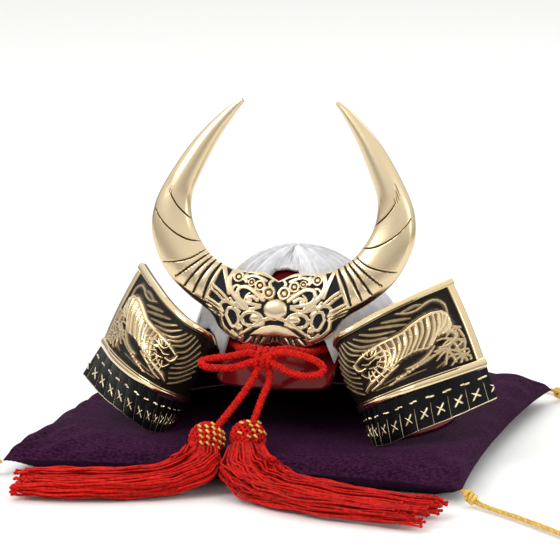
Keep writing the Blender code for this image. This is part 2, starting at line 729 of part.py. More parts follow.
def make_tassel(helmet, name, head, skirt, pull):
    """A round woven head and a flattened skirt of strands, in one solid."""
    head = Vector(head) * MM
    sides = 10
    first = (Vector(pull) * MM - head).normalized()
    centres, widths, depths = [], [], []
    for turn in (12, 40, 70, 100, 130):
        centres.append(head + first * TASSEL_HEAD * math.cos(math.radians(turn)))
        widths.append(TASSEL_HEAD * math.sin(math.radians(turn)))
        depths.append(TASSEL_HEAD * math.sin(math.radians(turn)))
    spread = ((0, 0.6), (0.15, 0.75), (0.4, 0.95), (0.7, 1), (1, 0.85))
    path = in_metres(skirt)
    for t in shares(8):
        centres.append(Vector(spline_at(path, t)))
        widths.append(SKIRT_HALF_WIDTH * table_at(spread, t))
        depths.append(mix(7 * MM, SKIRT_HALF_THICKNESS, ease(t * 2.5)))
    rings = []
    for i, centre in enumerate(centres):
        along = centres[min(i + 1, len(centres) - 1)] - centres[max(i - 1, 0)]
        across = along.cross(Vector((0, 0, 1))).normalized()
        lift = across.cross(along).normalized()
        ring = []
        for k in range(sides):
            turn = 2 * math.pi * k / sides
            ring.append(centre + across * widths[i] * math.cos(turn) + lift * depths[i] * math.sin(turn))
        rings.append(ring)
    return loft(name, rings, "red_cord", RED_CORD, helmet)


def make_tufts():
    """The yellow cord at each corner of the cushion."""
    corner = CUSHION_SIDE / 2
    for name, side_x, side_y in (
        ("corner_cord_front_left", -1, -1),
        ("corner_cord_front_right", 1, -1),
        ("corner_cord_back_left", -1, 1),
        ("corner_cord_back_right", 1, 1),
    ):
        source = TUFT_ROUTE if side_y < 0 else TUFT_ROUTE_BACK
        route = [
            Vector((side_x * (corner + x * MM), side_y * (corner + y * MM), z * MM)) for x, y, z in source
        ]
        tube(name, route, 14, TUFT, "yellow_cord", YELLOW)


def main():
    clear_scene()
    collection = bpy.data.collections.new("display_kabuto")
    bpy.context.scene.collection.children.link(collection)
    helmet = bpy.data.objects.new("helmet", None)
    helmet.location = (HELMET_X, HELMET_Y, 0)
    collection.objects.link(helmet)
    make_cushion()
    make_bowl(helmet)
    make_visor(helmet)
    make_lames(helmet)
    for side, label in ((-1, "left"), (1, "right")):
        make_wing(helmet, "fukigaeshi_" + label, side)
        make_band(helmet, "laced_band_" + label, side)
    make_crest(helmet)
    make_post(helmet)
    make_hair(helmet)
    make_cords(helmet)
    make_tassel(helmet, "tassel_left", HEAD_LEFT, SKIRT_LEFT, DROP_LEFT[-1])
    make_tassel(helmet, "tassel_right", HEAD_RIGHT, SKIRT_RIGHT, DROP_RIGHT[-1])
    make_tufts()


main()
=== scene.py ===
"""Looks for the display kabuto: cast relief, lacquer, hair, braided cord, tassels and cushion."""
import math
from collections import namedtuple

import bpy
import numpy as np
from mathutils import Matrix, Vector


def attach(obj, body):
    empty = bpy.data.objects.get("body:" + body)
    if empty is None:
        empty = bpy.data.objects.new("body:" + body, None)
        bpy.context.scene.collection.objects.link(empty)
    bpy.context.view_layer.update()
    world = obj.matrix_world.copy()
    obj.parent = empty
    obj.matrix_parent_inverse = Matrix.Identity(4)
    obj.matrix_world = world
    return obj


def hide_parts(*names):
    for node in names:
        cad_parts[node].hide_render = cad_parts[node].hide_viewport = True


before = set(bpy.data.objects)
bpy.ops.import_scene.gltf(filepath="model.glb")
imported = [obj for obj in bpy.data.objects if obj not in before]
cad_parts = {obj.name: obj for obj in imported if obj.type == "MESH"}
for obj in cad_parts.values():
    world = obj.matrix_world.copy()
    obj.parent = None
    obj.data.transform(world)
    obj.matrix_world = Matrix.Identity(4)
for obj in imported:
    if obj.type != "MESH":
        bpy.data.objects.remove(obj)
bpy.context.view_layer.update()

MM = 0.001
GAP = 0.3 * MM
HELMET = np.array((8, -16, 0)) * MM

# Sizes, most of them shared with the solids
CUSHION_SIDE = 245 * MM
CUSHION_THICKNESS = 21.5 * MM
SEAM_HEIGHT = 9.5 * MM
DISH_DEPTH = 5 * MM
DISH_Z = CUSHION_THICKNESS - DISH_DEPTH
EDGE_PULL = 5 * MM
BASE_Z = DISH_Z + GAP
GUARD_HEIGHT = 39.7 * MM
GUARD_GAP = 0.8  # millimetres off the bowl
GUARD_FLARE_SIDE = 42.6  # millimetres further out at its foot
GUARD_FLARE_BACK = 36
RIM_Z = BASE_Z + GUARD_HEIGHT
BOWL_Y = 5 * MM
BOWL_HALF_WIDTH = 44 * MM
BOWL_HALF_LENGTH = 43 * MM
BOWL_HEIGHT = 48 * MM
WING_REACH = 114.4 * MM
WING_FRONT = 65 * MM
WING_HEIGHT = 79.6 * MM
TIER_WALL = 1.6 * MM
PANEL_WALL = 2 * MM
PANEL_BULGE = 3 * MM
CREST_HALF_WIDTH = 72 * MM
CREST_HEIGHT = 127.4 * MM
CREST_LEAN = 0.237
CREST_EDGE = 2.4 * MM
HORN_CROWN = 3.2 * MM
FACE_CROWN = 4.2 * MM
CREST_Z = RIM_Z + 5.6 * MM
CREST_Y = BOWL_Y - BOWL_HALF_LENGTH - 4 * MM
CORD = 4.6 * MM
TUFT = 3.8 * MM
TASSEL_HEAD = 9.5 * MM
LOOP_Z = RIM_Z + CORD / 2 + 3.5 * MM
VISOR_HALF_WIDTH = 31.5 * MM
VISOR_REACH = 16 * MM
VISOR_DROP = 14 * MM
VISOR_WALL = 1.8 * MM

# Scales and steps of the meshes
FACE_SCALE = CREST_HALF_WIDTH / MM  # millimetres
PATH_STEP = 3 * MM
TWIST_STEP = 0.8 * MM
TWIST_PITCH = 5.5 * MM
SKIRT_STEPS = 42
GOLDEN_ANGLE = 2.399963  # radians, spreads points evenly over a ball

# The cushion under the helmet: the dish, where creases begin, and the dents of the tassel heads
DISH_HALF_WIDTH = BOWL_HALF_WIDTH + 50.6 * MM
DISH_HALF_LENGTH = BOWL_HALF_LENGTH + 36 * MM
DISH_LIFT = 0.28 * MM
SMOOTH_HALF_WIDTH = 97 * MM
SMOOTH_HALF_LENGTH = 90 * MM
DENT_RADIUS = 26 * MM
TASSEL_GAP = 0.4 * MM
UNDERSIDE_INSET = 9 * MM

# Where the hair ends: degrees from the front, and millimetres above the helmet's foot
HEM = ((0, 84), (15, 83), (22, 72), (29, 52), (35, 38.5), (40, 48.5), (46, 52), (66, 51), (75, 34), (97, 27),
       (130, 20), (180, 16))
HEM_LOWEST = 16 * MM
CAP_DEGREES = 78  # how far down the bowl the hair lies on it
CAP_SHARE = 0.56  # of the hair's length lies on the bowl
FALL_SHARE = 0.44
HAIR_OFF = 3.4 * MM
HAIR_OFF_GUARD = 4 * MM
STRAND_HALF_WIDTH = 0.12 * MM

# From the crest's middle to a horn's tip: the outer edge and the inner edge, as shares of half width
# and height
CREST = (
    (0.000, 0.020, 0.000, 0.265),
    (0.161, 0.000, 0.122, 0.298),
    (0.311, 0.024, 0.236, 0.298),
    (0.426, 0.066, 0.340, 0.307),
    (0.510, 0.130, 0.396, 0.316),
    (0.703, 0.202, 0.521, 0.355),
    (0.878, 0.298, 0.618, 0.416),
    (0.986, 0.427, 0.694, 0.502),
    (0.990, 0.537, 0.706, 0.596),
    (0.917, 0.647, 0.660, 0.678),
    (0.722, 0.819, 0.535, 0.827),
    (0.500, 0.949, 0.414, 0.937),
    (0.364, 1.000, 0.350, 0.986),
)
# From the helmet to a panel's outer edge: the panel's top, its foot and the black tier's foot, each as
# shares of the wing's reach, front and height
WING = (
    (0.350, -0.31, 0.520, 0.452, -0.52, 0.152, 0.504, -0.615, 0.003),
    (0.312, -0.53, 0.548, 0.436, -0.68, 0.160, 0.500, -0.770, 0.003),
    (0.294, -0.72, 0.640, 0.430, -0.80, 0.186, 0.496, -0.877, 0.003),
    (0.322, -0.84, 0.712, 0.465, -0.92, 0.230, 0.518, -0.975, 0.003),
    (0.387, -0.874, 0.776, 0.539, -0.977, 0.288, 0.575, -0.968, 0.018),
    (0.499, -0.73, 0.868, 0.661, -0.885, 0.356, 0.696, -0.854, 0.093),
    (0.623, -0.408, 0.943, 0.800, -0.592, 0.402, 0.843, -0.630, 0.165),
    (0.743, -0.046, 1.000, 0.932, -0.160, 0.428, 1.000, -0.300, 0.246),
)

# Relief of the face: half width and rise in millimetres, and a line in shares of the crest's
# half width from the foot's middle. Each is done on both sides.
Stroke = namedtuple("Stroke", "width rise points")
FACE_STROKES = (
    Stroke(1.15, 1.3, ((0.296, 0.376), (0.278, 0.409), (0.224, 0.416), (0.167, 0.384), (0.096, 0.328))),
    Stroke(1.05, 1.1, ((0.296, 0.376), (0.272, 0.326), (0.203, 0.300), (0.121, 0.290))),
    Stroke(1.0, 0.9, ((0.14, 0.325), (0.18, 0.35), (0.215, 0.335), (0.19, 0.322))),
    Stroke(0.6, 0.6, ((0.20, 0.375), (0.225, 0.355), (0.235, 0.33))),
    Stroke(1.1, 1.2, ((0.086, 0.163), (0.152, 0.141), (0.227, 0.150), (0.250, 0.193), (0.219, 0.231),
                      (0.144, 0.234), (0.099, 0.201), (0.086, 0.163))),
    Stroke(1.0, 1.3, ((0.262, 0.076), (0.215, 0.103), (0.151, 0.148), (0.074, 0.19), (0, 0.203))),
    Stroke(0.95, 1.0, ((0.373, 0.207), (0.356, 0.258), (0.308, 0.254), (0.278, 0.205), (0.282, 0.154),
                       (0.314, 0.126), (0.342, 0.151), (0.373, 0.207))),
    Stroke(1.0, 1.0, ((0.415, 0.205), (0.40, 0.14), (0.345, 0.085), (0.28, 0.052))),
    Stroke(0.9, 0.9, ((0.325, 0.10), (0.30, 0.078), (0.262, 0.062))),
    Stroke(1.9, 1.1, ((0.505, 0.416), (0.438, 0.369), (0.38, 0.315))),
    Stroke(1.9, 1.2, ((0.585, 0.340), (0.502, 0.302), (0.424, 0.255))),
    Stroke(1.5, 1.0, ((0.53, 0.262), (0.47, 0.238), (0.41, 0.205))),
    Stroke(1.0, 1.0, ((0.40, 0.235), (0.425, 0.275), (0.38, 0.308), (0.324, 0.286))),
    Stroke(1.2, 1.0, ((0.425, 0.585), (0.391, 0.48), (0.356, 0.367))),
    Stroke(1.3, 1.1, ((0.339, 0.528), (0.363, 0.462), (0.344, 0.393), (0.30, 0.332), (0.22, 0.27))),
    Stroke(0.9, 0.8, ((0.34, 0.530), (0.231, 0.533), (0.108, 0.514), (0, 0.474))),
    Stroke(0.8, 0.8, ((0.255, 0.47), (0.20, 0.50), (0.135, 0.488), (0.09, 0.468))),
    Stroke(0.8, 0.7, ((0.04, 0.475), (0.062, 0.452), (0.05, 0.432))),
    Stroke(0.8, 0.7, ((0.10, 0.35), (0.13, 0.375), (0.18, 0.405))),
    Stroke(0.9, 0.8, ((0.30, 0.30), (0.25, 0.262), (0.18, 0.262), (0.12, 0.275))),
    Stroke(0.8, 0.7, ((0.27, 0.235), (0.31, 0.285), (0.345, 0.33))),
    Stroke(0.7, 0.7, ((0.265, 0.42), (0.31, 0.425), (0.335, 0.40))),
)
Knob = namedtuple("Knob", "x z half_width half_height rise hollow")
FACE_KNOBS = (
    Knob(0.000, 0.262, 0.092, 0.080, 2.0, 0),
    Knob(0.058, 0.383, 0.052, 0.052, 1.7, 1),
    Knob(0.130, 0.432, 0.043, 0.043, 1.5, 1),
    Knob(0.298, 0.488, 0.042, 0.042, 1.3, 1),
    Knob(0.196, 0.452, 0.030, 0.030, 1.1, 1),
    Knob(0.240, 0.498, 0.020, 0.020, 0.9, 0),
    Knob(0.165, 0.500, 0.019, 0.019, 0.9, 0),
    Knob(0.238, 0.458, 0.017, 0.017, 0.8, 0),
    Knob(0.145, 0.195, 0.050, 0.036, 1.5, 0),
    Knob(0.271, 0.122, 0.030, 0.034, 1.3, 0),
)
LEAF_VEINS = (
    ((0.49, 0.405), (0.438, 0.369), (0.39, 0.325)),
    ((0.56, 0.330), (0.502, 0.302), (0.434, 0.262)),
    ((0.51, 0.256), (0.47, 0.238), (0.42, 0.212)),
)
HORN_LENGTH = 162  # millimetres along the crest, from its middle to a tip
HORN_WIDTH = 28
# Cuts across each horn: half width in millimetres and a line in (share along, share across)
HORN_CUTS = (
    (0.50, ((0.585, 1.0), (0.612, 0.86), (0.66, 0.62), (0.755, 0.2))),
    (0.50, ((0.497, 1.0), (0.53, 0.75), (0.585, 0.45), (0.665, 0.08))),
    (0.50, ((0.455, 1.0), (0.47, 0.6), (0.512, 0.06))),
    (0.75, ((0.432, 1.02), (0.447, 0.6), (0.462, 0.1))),
    (0.95, ((0.412, 1.02), (0.424, 0.6), (0.428, 0.1))),
    (1.15, ((0.392, 1.02), (0.400, 0.6), (0.398, 0.12))),
    (1.5, ((0.366, 1.02), (0.372, 0.6), (0.366, 0.14))),
)

# Relief of a panel: half width and rise in millimetres, and a line in (share out, share down).
TIGER = (
    Stroke(1.5, 2.2, ((0.15, 0.45), (0.22, 0.40), (0.30, 0.375), (0.41, 0.36), (0.53, 0.36), (0.64, 0.31),
                      (0.75, 0.275), (0.84, 0.30), (0.87, 0.38), (0.85, 0.50))),
    Stroke(1.5, 2.0, ((0.13, 0.46), (0.14, 0.51), (0.17, 0.555), (0.22, 0.55))),
    Stroke(1.1, 1.6, ((0.17, 0.60), (0.21, 0.665), (0.26, 0.655), (0.31, 0.61))),
    Stroke(1.3, 1.8, ((0.38, 0.42), (0.43, 0.51), (0.41, 0.60), (0.35, 0.66))),
    Stroke(1.0, 1.5, ((0.43, 0.43), (0.47, 0.51), (0.455, 0.62), (0.40, 0.69))),
    Stroke(1.0, 1.8, ((0.24, 0.42), (0.27, 0.46), (0.32, 0.45), (0.35, 0.41))),
    Stroke(0.8, 1.7, ((0.20, 0.49), (0.25, 0.52), (0.29, 0.50))),
    Stroke(0.9, 1.6, ((0.30, 0.50), (0.345, 0.48), (0.36, 0.52), (0.32, 0.56))),
    Stroke(1.0, 1.6, ((0.25, 0.57), (0.30, 0.585), (0.34, 0.58))),
    Stroke(1.15, 1.3, ((0.88, 0.34), (0.885, 0.23), (0.84, 0.155), (0.78, 0.15), (0.71, 0.182), (0.64, 0.175),
                       (0.57, 0.125))),
    Stroke(1.2, 1.5, ((0.31, 0.70), (0.42, 0.65), (0.51, 0.61), (0.60, 0.59), (0.69, 0.61), (0.73, 0.54))),
    Stroke(1.7, 1.7, ((0.37, 0.67), (0.27, 0.72), (0.20, 0.755), (0.14, 0.81))),
    Stroke(1.4, 1.5, ((0.46, 0.67), (0.36, 0.73), (0.28, 0.79), (0.20, 0.82))),
    Stroke(1.6, 1.6, ((0.74, 0.50), (0.80, 0.51), (0.87, 0.54), (0.88, 0.60), (0.81, 0.655), (0.75, 0.65))),
    Stroke(1.4, 1.5, ((0.72, 0.62), (0.66, 0.69), (0.59, 0.735), (0.51, 0.745))),
    Stroke(0.8, 0.9, ((0.32, 0.81), (0.43, 0.79), (0.55, 0.77), (0.66, 0.745), (0.79, 0.68))),
    Stroke(0.8, 0.9, ((0.24, 0.845), (0.40, 0.84), (0.53, 0.825), (0.63, 0.82))),
    Stroke(0.8, 1.0, ((0.83, 0.75), (0.87, 0.66), (0.915, 0.58))),
    Stroke(0.8, 1.0, ((0.85, 0.77), (0.895, 0.70), (0.925, 0.62))),
    Stroke(0.8, 1.0, ((0.86, 0.74), (0.895, 0.78), (0.925, 0.85))),
    Stroke(0.8, 1.0, ((0.82, 0.77), (0.77, 0.80), (0.70, 0.845))),
    Stroke(0.7, 1.0, ((0.83, 0.77), (0.835, 0.82), (0.83, 0.86))),
    Stroke(0.7, 1.0, ((0.80, 0.78), (0.765, 0.815), (0.74, 0.85))),
    Stroke(0.7, 0.9, ((0.78, 0.72), (0.80, 0.66), (0.845, 0.63))),
)
# Ridges of wind round the tiger, in the same shares
WIND = (
    ((0.46, 0.15), (0.55, 0.19), (0.64, 0.235)),
    ((0.36, 0.15), (0.49, 0.22), (0.60, 0.28)),
    ((0.27, 0.15), (0.38, 0.24), (0.52, 0.30)),
    ((0.20, 0.16), (0.32, 0.27), (0.45, 0.325)),
    ((0.13, 0.16), (0.24, 0.29), (0.38, 0.345)),
    ((0.07, 0.15), (0.17, 0.29), (0.29, 0.36)),
    ((0.02, 0.15), (0.10, 0.30), (0.21, 0.375)),
    ((-0.04, 0.17), (0.05, 0.35), (0.14, 0.42)),
    ((-0.10, 0.21), (0.01, 0.40), (0.11, 0.49)),
    ((-0.14, 0.29), (-0.01, 0.47), (0.11, 0.56)),
    ((-0.16, 0.37), (-0.02, 0.54), (0.14, 0.63)),
    ((-0.17, 0.45), (-0.01, 0.62), (0.13, 0.70)),
    ((-0.17, 0.54), (-0.01, 0.69), (0.11, 0.76)),
    ((-0.16, 0.63), (-0.02, 0.76), (0.10, 0.83)),
    ((0.60, 0.14), (0.69, 0.13), (0.74, 0.145)),
)
BEND_SHARE = 0.45  # where along the wing the outer field begins
PANEL_LENGTH = 68  # millimetres of outer field
PANEL_DROP = 47
STRIPES = 15
# Middles of the leaf clusters, in the same shares
LEAVES = ((0.90, 0.50), (0.84, 0.60), (0.93, 0.66), (0.80, 0.70), (0.88, 0.80), (0.95, 0.78))
TIER_DROP = 17.5  # millimetres
PLATE_WIDTH = 0.115 * PANEL_LENGTH

# Cords, in millimetres in the helmet's frame
KNOT = (-1, -62, 60.5)
LOOP_LEFT = (
    (-6.3, -57, 63.9), (-11.6, -53.4, 63.8), (-16.4, -48.6, 62), (-20, -42.4, 60.6), (-23.8, -35, 60.8),
    (-30.2, -29.6, 61.6),
)
LOOP_RIGHT = (
    (4.3, -57, 63.9), (9.8, -53.4, 63.8), (15.6, -48.6, 62), (19.8, -42.4, 60.6), (23.8, -35, 60.8),
    (30.2, -29.6, 61.6),
)
BOW_LEFT = (
    (-8.7, -64.5, 63.3), (-13.5, -66, 62.3), (-20, -67.2, 60.8), (-26.1, -68, 60), (-32.5, -70.4, 58.6),
    (-30.1, -73.6, 56.6), (-23, -73.4, 56), (-14.5, -70, 56.2), (-7.6, -65.6, 58.3),
)
BOW_RIGHT = (
    (6.3, -64.1, 63.6), (12, -65.6, 64.4), (20, -66.6, 63.6), (28, -67.2, 61.4), (32.6, -68.2, 58),
    (30.5, -70, 54.8), (23, -70.4, 53.6), (14, -69, 55), (5.5, -65.5, 58.1),
)
DROP_LEFT = ((-3.8, -64.3, 54.1), (-7.4, -69.4, 46.6), (-12.6, -79.6, 37.6), (-18.35, -90.45, 28.8))
DROP_RIGHT = ((2.2, -62.3, 53), (2.4, -65, 48), (0.8, -73, 41), (-0.65, -84.65, 30.6))
SKIRT_LEFT = (
    (-21.6, -110, 16.6), (-26, -115.6, 10.4), (-34, -120.6, 6.4), (-46, -127, 4.9), (-62, -133, 4.6),
    (-80, -137.6, 4.6), (-97, -140.6, 4.6), (-111, -143, 4.6),
)
SKIRT_RIGHT = (
    (2.4, -108.4, 17.2), (5.6, -113.4, 11.4), (11.4, -117.4, 7), (21, -122.6, 4.9), (36, -131, 4.6),
    (58, -140, 4.6), (84, -146.4, 4.6), (110, -150.4, 4.6),
)
TUFT_ROUTE = ((0.4, 0.4, 7.5), (6.4, 4.6, 4.4), (13, 9, 2.4), (32, 25, 2.2), (56, 48, 2.2), (72, 66, 2.2))
TUFT_ROUTE_BACK = (
    (0.4, 0.4, 7.5), (3.6, 6, 4.4), (4, 13, 2.4), (-8, 26, 2.2), (-34, 33, 2.2), (-62, 36, 2.2),
)
# The yellow specks sit on a head where it faces speck_side, by speck_share or more.
Tassel = namedtuple("Tassel", "label drop head skirt seed speck_side speck_share")
TASSELS = (
    Tassel("left", DROP_LEFT, (-22, -97.4, 23.2), SKIRT_LEFT, 3, (0.75, -0.8, 0.25), 0.45),
    Tassel("right", DROP_RIGHT, (-1.5, -91.8, 24.2), SKIRT_RIGHT, 4, (0.55, -0.6, 0.75), 0.72),
)


def make_camera():
    """A long lens to the right of the front, a little above the helmet."""
    data = bpy.data.cameras.new("camera")
    data.lens = 223.6
    data.clip_end = 10
    camera = bpy.data.objects.new("camera", data)
    bpy.context.scene.collection.objects.link(camera)
    target = Vector((0.0042, -0.0354, 0.0939))
    azimuth, elevation, distance = math.radians(15), math.radians(10.5), 1.85
    level = math.cos(elevation)
    away = Vector((math.sin(azimuth) * level, -math.cos(azimuth) * level, math.sin(elevation)))
    camera.location = target + away * distance
    camera.rotation_euler = (-away).to_track_quat("-Z", "Y").to_euler()
    bpy.context.scene.camera = camera


def rows_at(table, t):
    """Catmull-Rom through a table's rows, at shares t of its length."""
    p = np.array(table, float)
    p = np.vstack([2 * p[0] - p[1], p, 2 * p[-1] - p[-2]])
    place = np.clip(np.asarray(t, float), 0, 1) * (len(p) - 3)
    i = np.minimum(place.astype(int), len(p) - 4)
    f = (place - i)[..., None]
    a, b, c, d = p[i], p[i + 1], p[i + 2], p[i + 3]
    return 0.5 * (2 * b + (c - a) * f + (2 * a - 5 * b + 4 * c - d) * f**2 + (3 * b - a - 3 * c + d) * f**3)


def ease(x):
    x = np.clip(x, 0, 1)
    return x * x * (3 - 2 * x)


def mix(a, b, share):
    return a + (b - a) * share


def unit(v):
    return v / np.maximum(np.linalg.norm(v, axis=-1, keepdims=True), 1e-12)


def line_distance(x, z, points, samples=14):
    """The distance from each (x, z) to a smooth line, and the share along it."""
    line = rows_at(points, np.linspace(0, 1, samples))
    best = np.full(x.shape, 1e9)
    along = np.zeros(x.shape)
    for k, (p, q) in enumerate(zip(line, line[1:])):
        d = q - p
        t = np.clip(((x - p[0]) * d[0] + (z - p[1]) * d[1]) / max(d @ d, 1e-12), 0, 1)
        r = np.hypot(x - p[0] - t * d[0], z - p[1] - t * d[1])
        along = np.where(r < best, (k + t) / (samples - 1), along)
        best = np.minimum(best, r)
    return best, along


def grid_faces(rows, columns, first=0):
    i = np.arange(rows - 1)[:, None] * columns + np.arange(columns - 1)[None, :] + first
    return np.stack([i, i + 1, i + columns + 1, i + columns], -1).reshape(-1, 4)


def border(rows, columns):
    """The row and the column of each place on a grid's border, once round from its first corner."""
    i = np.concatenate([
        np.zeros(columns, int), np.arange(1, rows), np.full(columns - 1, rows - 1),
        np.arange(rows - 2, 0, -1),
    ])
    j = np.concatenate([
        np.arange(columns), np.full(rows - 1, columns - 1), np.arange(columns - 2, -1, -1),
        np.zeros(rows - 2, int),
    ])
    return i, j


def piece(name, points, faces, look, marks=None):
    """A smooth mesh from arrays, with a value per point for each named mark, riding on the part."""
    mesh = bpy.data.meshes.new(name)
    points = np.asarray(points, float).reshape(-1, 3)
    faces = np.asarray(faces, int)
    mesh.vertices.add(len(points))
    mesh.vertices.foreach_set("co", points.ravel())
    mesh.loops.add(faces.size)
    mesh.loops.foreach_set("vertex_index", faces.ravel())
    mesh.polygons.add(len(faces))
    mesh.polygons.foreach_set("loop_start", np.arange(len(faces)) * faces.shape[1])
    mesh.update(calc_edges=True)
    for key, values in (marks or {}).items():
        layer = mesh.attributes.new(key, "FLOAT", "POINT")
        layer.data.foreach_set("value", np.asarray(values, np.float32).ravel())
    mesh.shade_smooth()
    made = bpy.data.objects.new(name, mesh)
    bpy.context.scene.collection.objects.link(made)
    mesh.materials.append(look)
    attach(made, "root")
    return made


def frames(line):
    """Two unit directions square to a line, carried along it without twist."""
    along = unit(np.gradient(line, axis=0))
    side = np.zeros_like(line)
    start = np.cross(along[0], (0, 0, 1.0))
    if np.linalg.norm(start) < 0.2:
        start = np.cross(along[0], (1.0, 0, 0))
    side[0] = unit(start)
    for i in range(1, len(line)):
        s = side[i - 1] - along[i] * (side[i - 1] @ along[i])
        side[i] = unit(s)
    return side, np.cross(along, side)


def circle(turn, side, up):
    """Directions at the given turns, in the plane of two directions."""
    return np.cos(turn)[:, None] * side + np.sin(turn)[:, None] * up


def around(line, side, up, radius, turn):
    """A line wound round another, at a radius and turns that may change along it."""
    return line + side * (radius * np.cos(turn))[:, None] + up * (radius * np.sin(turn))[:, None]


def tube(line, radius, sides):
    """Points, side quads and end triangles of a closed tube; its radius may change along the line."""
    line = np.asarray(line, float)
    radius = np.broadcast_to(np.asarray(radius, float), (len(line),))
    side, up = frames(line)
    turn = np.arange(sides) * 2 * np.pi / sides
    ring = side[:, None] * np.cos(turn)[None, :, None] + up[:, None] * np.sin(turn)[None, :, None]
    points = line[:, None] + ring * radius[:, None, None]
    k = np.arange(sides)
    j = (k + 1) % sides
    i = np.arange(len(line) - 1)[:, None] * sides
    quads = np.stack([i + k, i + j, i + sides + j, i + sides + k], -1).reshape(-1, 4)
    last = (len(line) - 1) * sides
    start = np.full(sides, len(line) * sides)
    caps = np.concatenate([np.stack([start, j, k], -1), np.stack([start + 1, last + k, last + j], -1)])
    return np.concatenate([points.reshape(-1, 3), [line[0], line[-1]]]), quads, caps


def tubes_mesh(name, runs, look):
    """One mesh of many tubes: runs are (line, radius, sides), and a shade for each point if it varies."""
    points, faces, shades, count = [], [], [], 0
    for index, (line, radius, sides, *shade) in enumerate(runs):
        tube_points, quads, caps = tube(line, radius, sides)
        points.append(tube_points)
        faces.append((quads + count, caps + count))
        along = shade[0] if shade else np.full(len(line), 0.3 + 0.7 * ((index * 0.618) % 1))
        shades.append(np.concatenate([np.repeat(along, sides), along[[0, -1]]]))
        count += len(tube_points)
    quads = np.concatenate([pair[0] for pair in faces])
    caps = np.concatenate([pair[1] for pair in faces])
    triangles = np.concatenate([quads[:, [0, 1, 2]], quads[:, [0, 2, 3]], caps])
    return piece(name, np.concatenate(points), triangles, look, {"shade": np.concatenate(shades)})


def set_inputs(node, values):
    """Gives a node's inputs numbers, colours or what other nodes put out."""
    for name, value in values.items():
        if isinstance(value, bpy.types.NodeSocket):
            node.id_data.links.new(value, node.inputs[name])
        else:
            node.inputs[name].default_value = value


def add_node(tree, kind, values):
    made = tree.nodes.new("ShaderNode" + kind)
    set_inputs(made, values)
    return made


def calculate(tree, operation, *terms):
    made = add_node(tree, "Math", dict(enumerate(terms)))
    made.operation = operation
    return made.outputs[0]


def span(tree, value, low, high, out_low, out_high):
    """A value whose range from low to high becomes the range from out_low to out_high."""
    made = add_node(tree, "MapRange", {
        "Value": value, "From Min": low, "From Max": high, "To Min": out_low, "To Max": out_high,
    })
    return made.outputs["Result"]


def ramp(tree, value, stops):
    """The colour for a value, between stops of (place, colour)."""
    made = add_node(tree, "ValToRGB", {"Fac": value})
    elements = made.color_ramp.elements
    for element, (place, colour) in zip(elements, (stops[0], stops[-1])):
        element.position = place
        element.color = (*colour, 1)
    for place, colour in stops[1:-1]:
        elements.new(place).color = (*colour, 1)
    return made.outputs["Color"]


def add_noise(tree, scale, detail, stretch=None):
    place = add_node(tree, "TexCoord", {}).outputs["Object"]
    if stretch:
        place = add_node(tree, "Mapping", {"Vector": place, "Scale": stretch}).outputs["Vector"]
    return add_node(tree, "TexNoise", {"Vector": place, "Scale": scale, "Detail": detail}).outputs["Fac"]


def mark_of(tree, name):
    """The value that each point of a mesh carries under this name."""
    made = add_node(tree, "Attribute", {})
    made.attribute_name = name
    return made.outputs["Fac"]


def add_bump(tree, height, strength, distance):
    bump = add_node(tree, "Bump", {"Height": height, "Strength": strength, "Distance": distance})
    set_inputs(tree.nodes["Principled BSDF"], {"Normal": bump.outputs["Normal"]})


def new_material(name, colour, roughness, metallic=0.0):
    made = bpy.data.materials.new(name)
    made.use_nodes = True
    set_inputs(made.node_tree.nodes["Principled BSDF"], {
        "Base Color": (*colour, 1), "Roughness": roughness, "Metallic": metallic,
    })
    return made


def cast_metal(name, stops, rough_low, rough_high):
    """Cast metal whose colour follows its level mark from dark to gold: on the relief, painted shade in the
    recesses and painted highlight on the polished high places; on the black tier, its gold pattern.
    """
    made = new_material(name, stops[-1][1], 0.3, 1.0)
    tree = made.node_tree
    speckle = 0.22
    # On the crest and panels the level mark is painted shade in low places and painted highlight on high
    # ones.
    lowered = calculate(tree, "SUBTRACT", mark_of(tree, "level"), speckle / 2)
    level = calculate(tree, "MULTIPLY_ADD", add_noise(tree, 420, 5), speckle, lowered)
    set_inputs(tree.nodes["Principled BSDF"], {
        "Base Color": ramp(tree, level, stops),
        "Roughness": span(tree, level, 0.1, 0.8, rough_high, rough_low),
        "Metallic": span(tree, level, 0.1, 0.6, 0.15, 1.0),
        "Specular IOR Level": 0.12,
    })
    add_bump(tree, add_noise(tree, 900, 3), 0.12, 0.0002)
    return made


def lacquer(name, rough, coat):
    """Dark red lacquer: slow changes of depth and faint waves."""
    red, deep = (0.17, 0.006, 0.009), (0.09, 0.003, 0.005)
    made = new_material(name, red, rough)
    tree = made.node_tree
    set_inputs(tree.nodes["Principled BSDF"], {
        "Base Color": ramp(tree, add_noise(tree, 26, 4), ((0.3, deep), (0.7, red))),
        "Coat Weight": coat,
        "Coat Roughness": 0.05,
        "Specular IOR Level": coat,
    })
    add_bump(tree, add_noise(tree, 60, 2), 0.1, 0.0006)
    return made


def fibre(name, dark, light, rough, sheen, scale=500):
    """Dyed thread: strands differ a little in shade, with fuzz along them."""
    made = new_material(name, light, rough)
    tree = made.node_tree
    fuzz = add_noise(tree, scale, 4)
    strand_shade = span(tree, mark_of(tree, "shade"), 0, 1, 0, 0.5)
    shade = calculate(tree, "ADD", strand_shade, span(tree, fuzz, 0.3, 0.7, 0, 0.5))
    set_inputs(tree.nodes["Principled BSDF"], {
        "Base Color": ramp(tree, shade, ((0.05, dark), (0.95, light))),
        "Sheen Weight": sheen,
        "Sheen Roughness": 0.4,
        "Specular IOR Level": 0.12,
    })
    add_bump(tree, fuzz, 0.25, 0.0003)
    return made


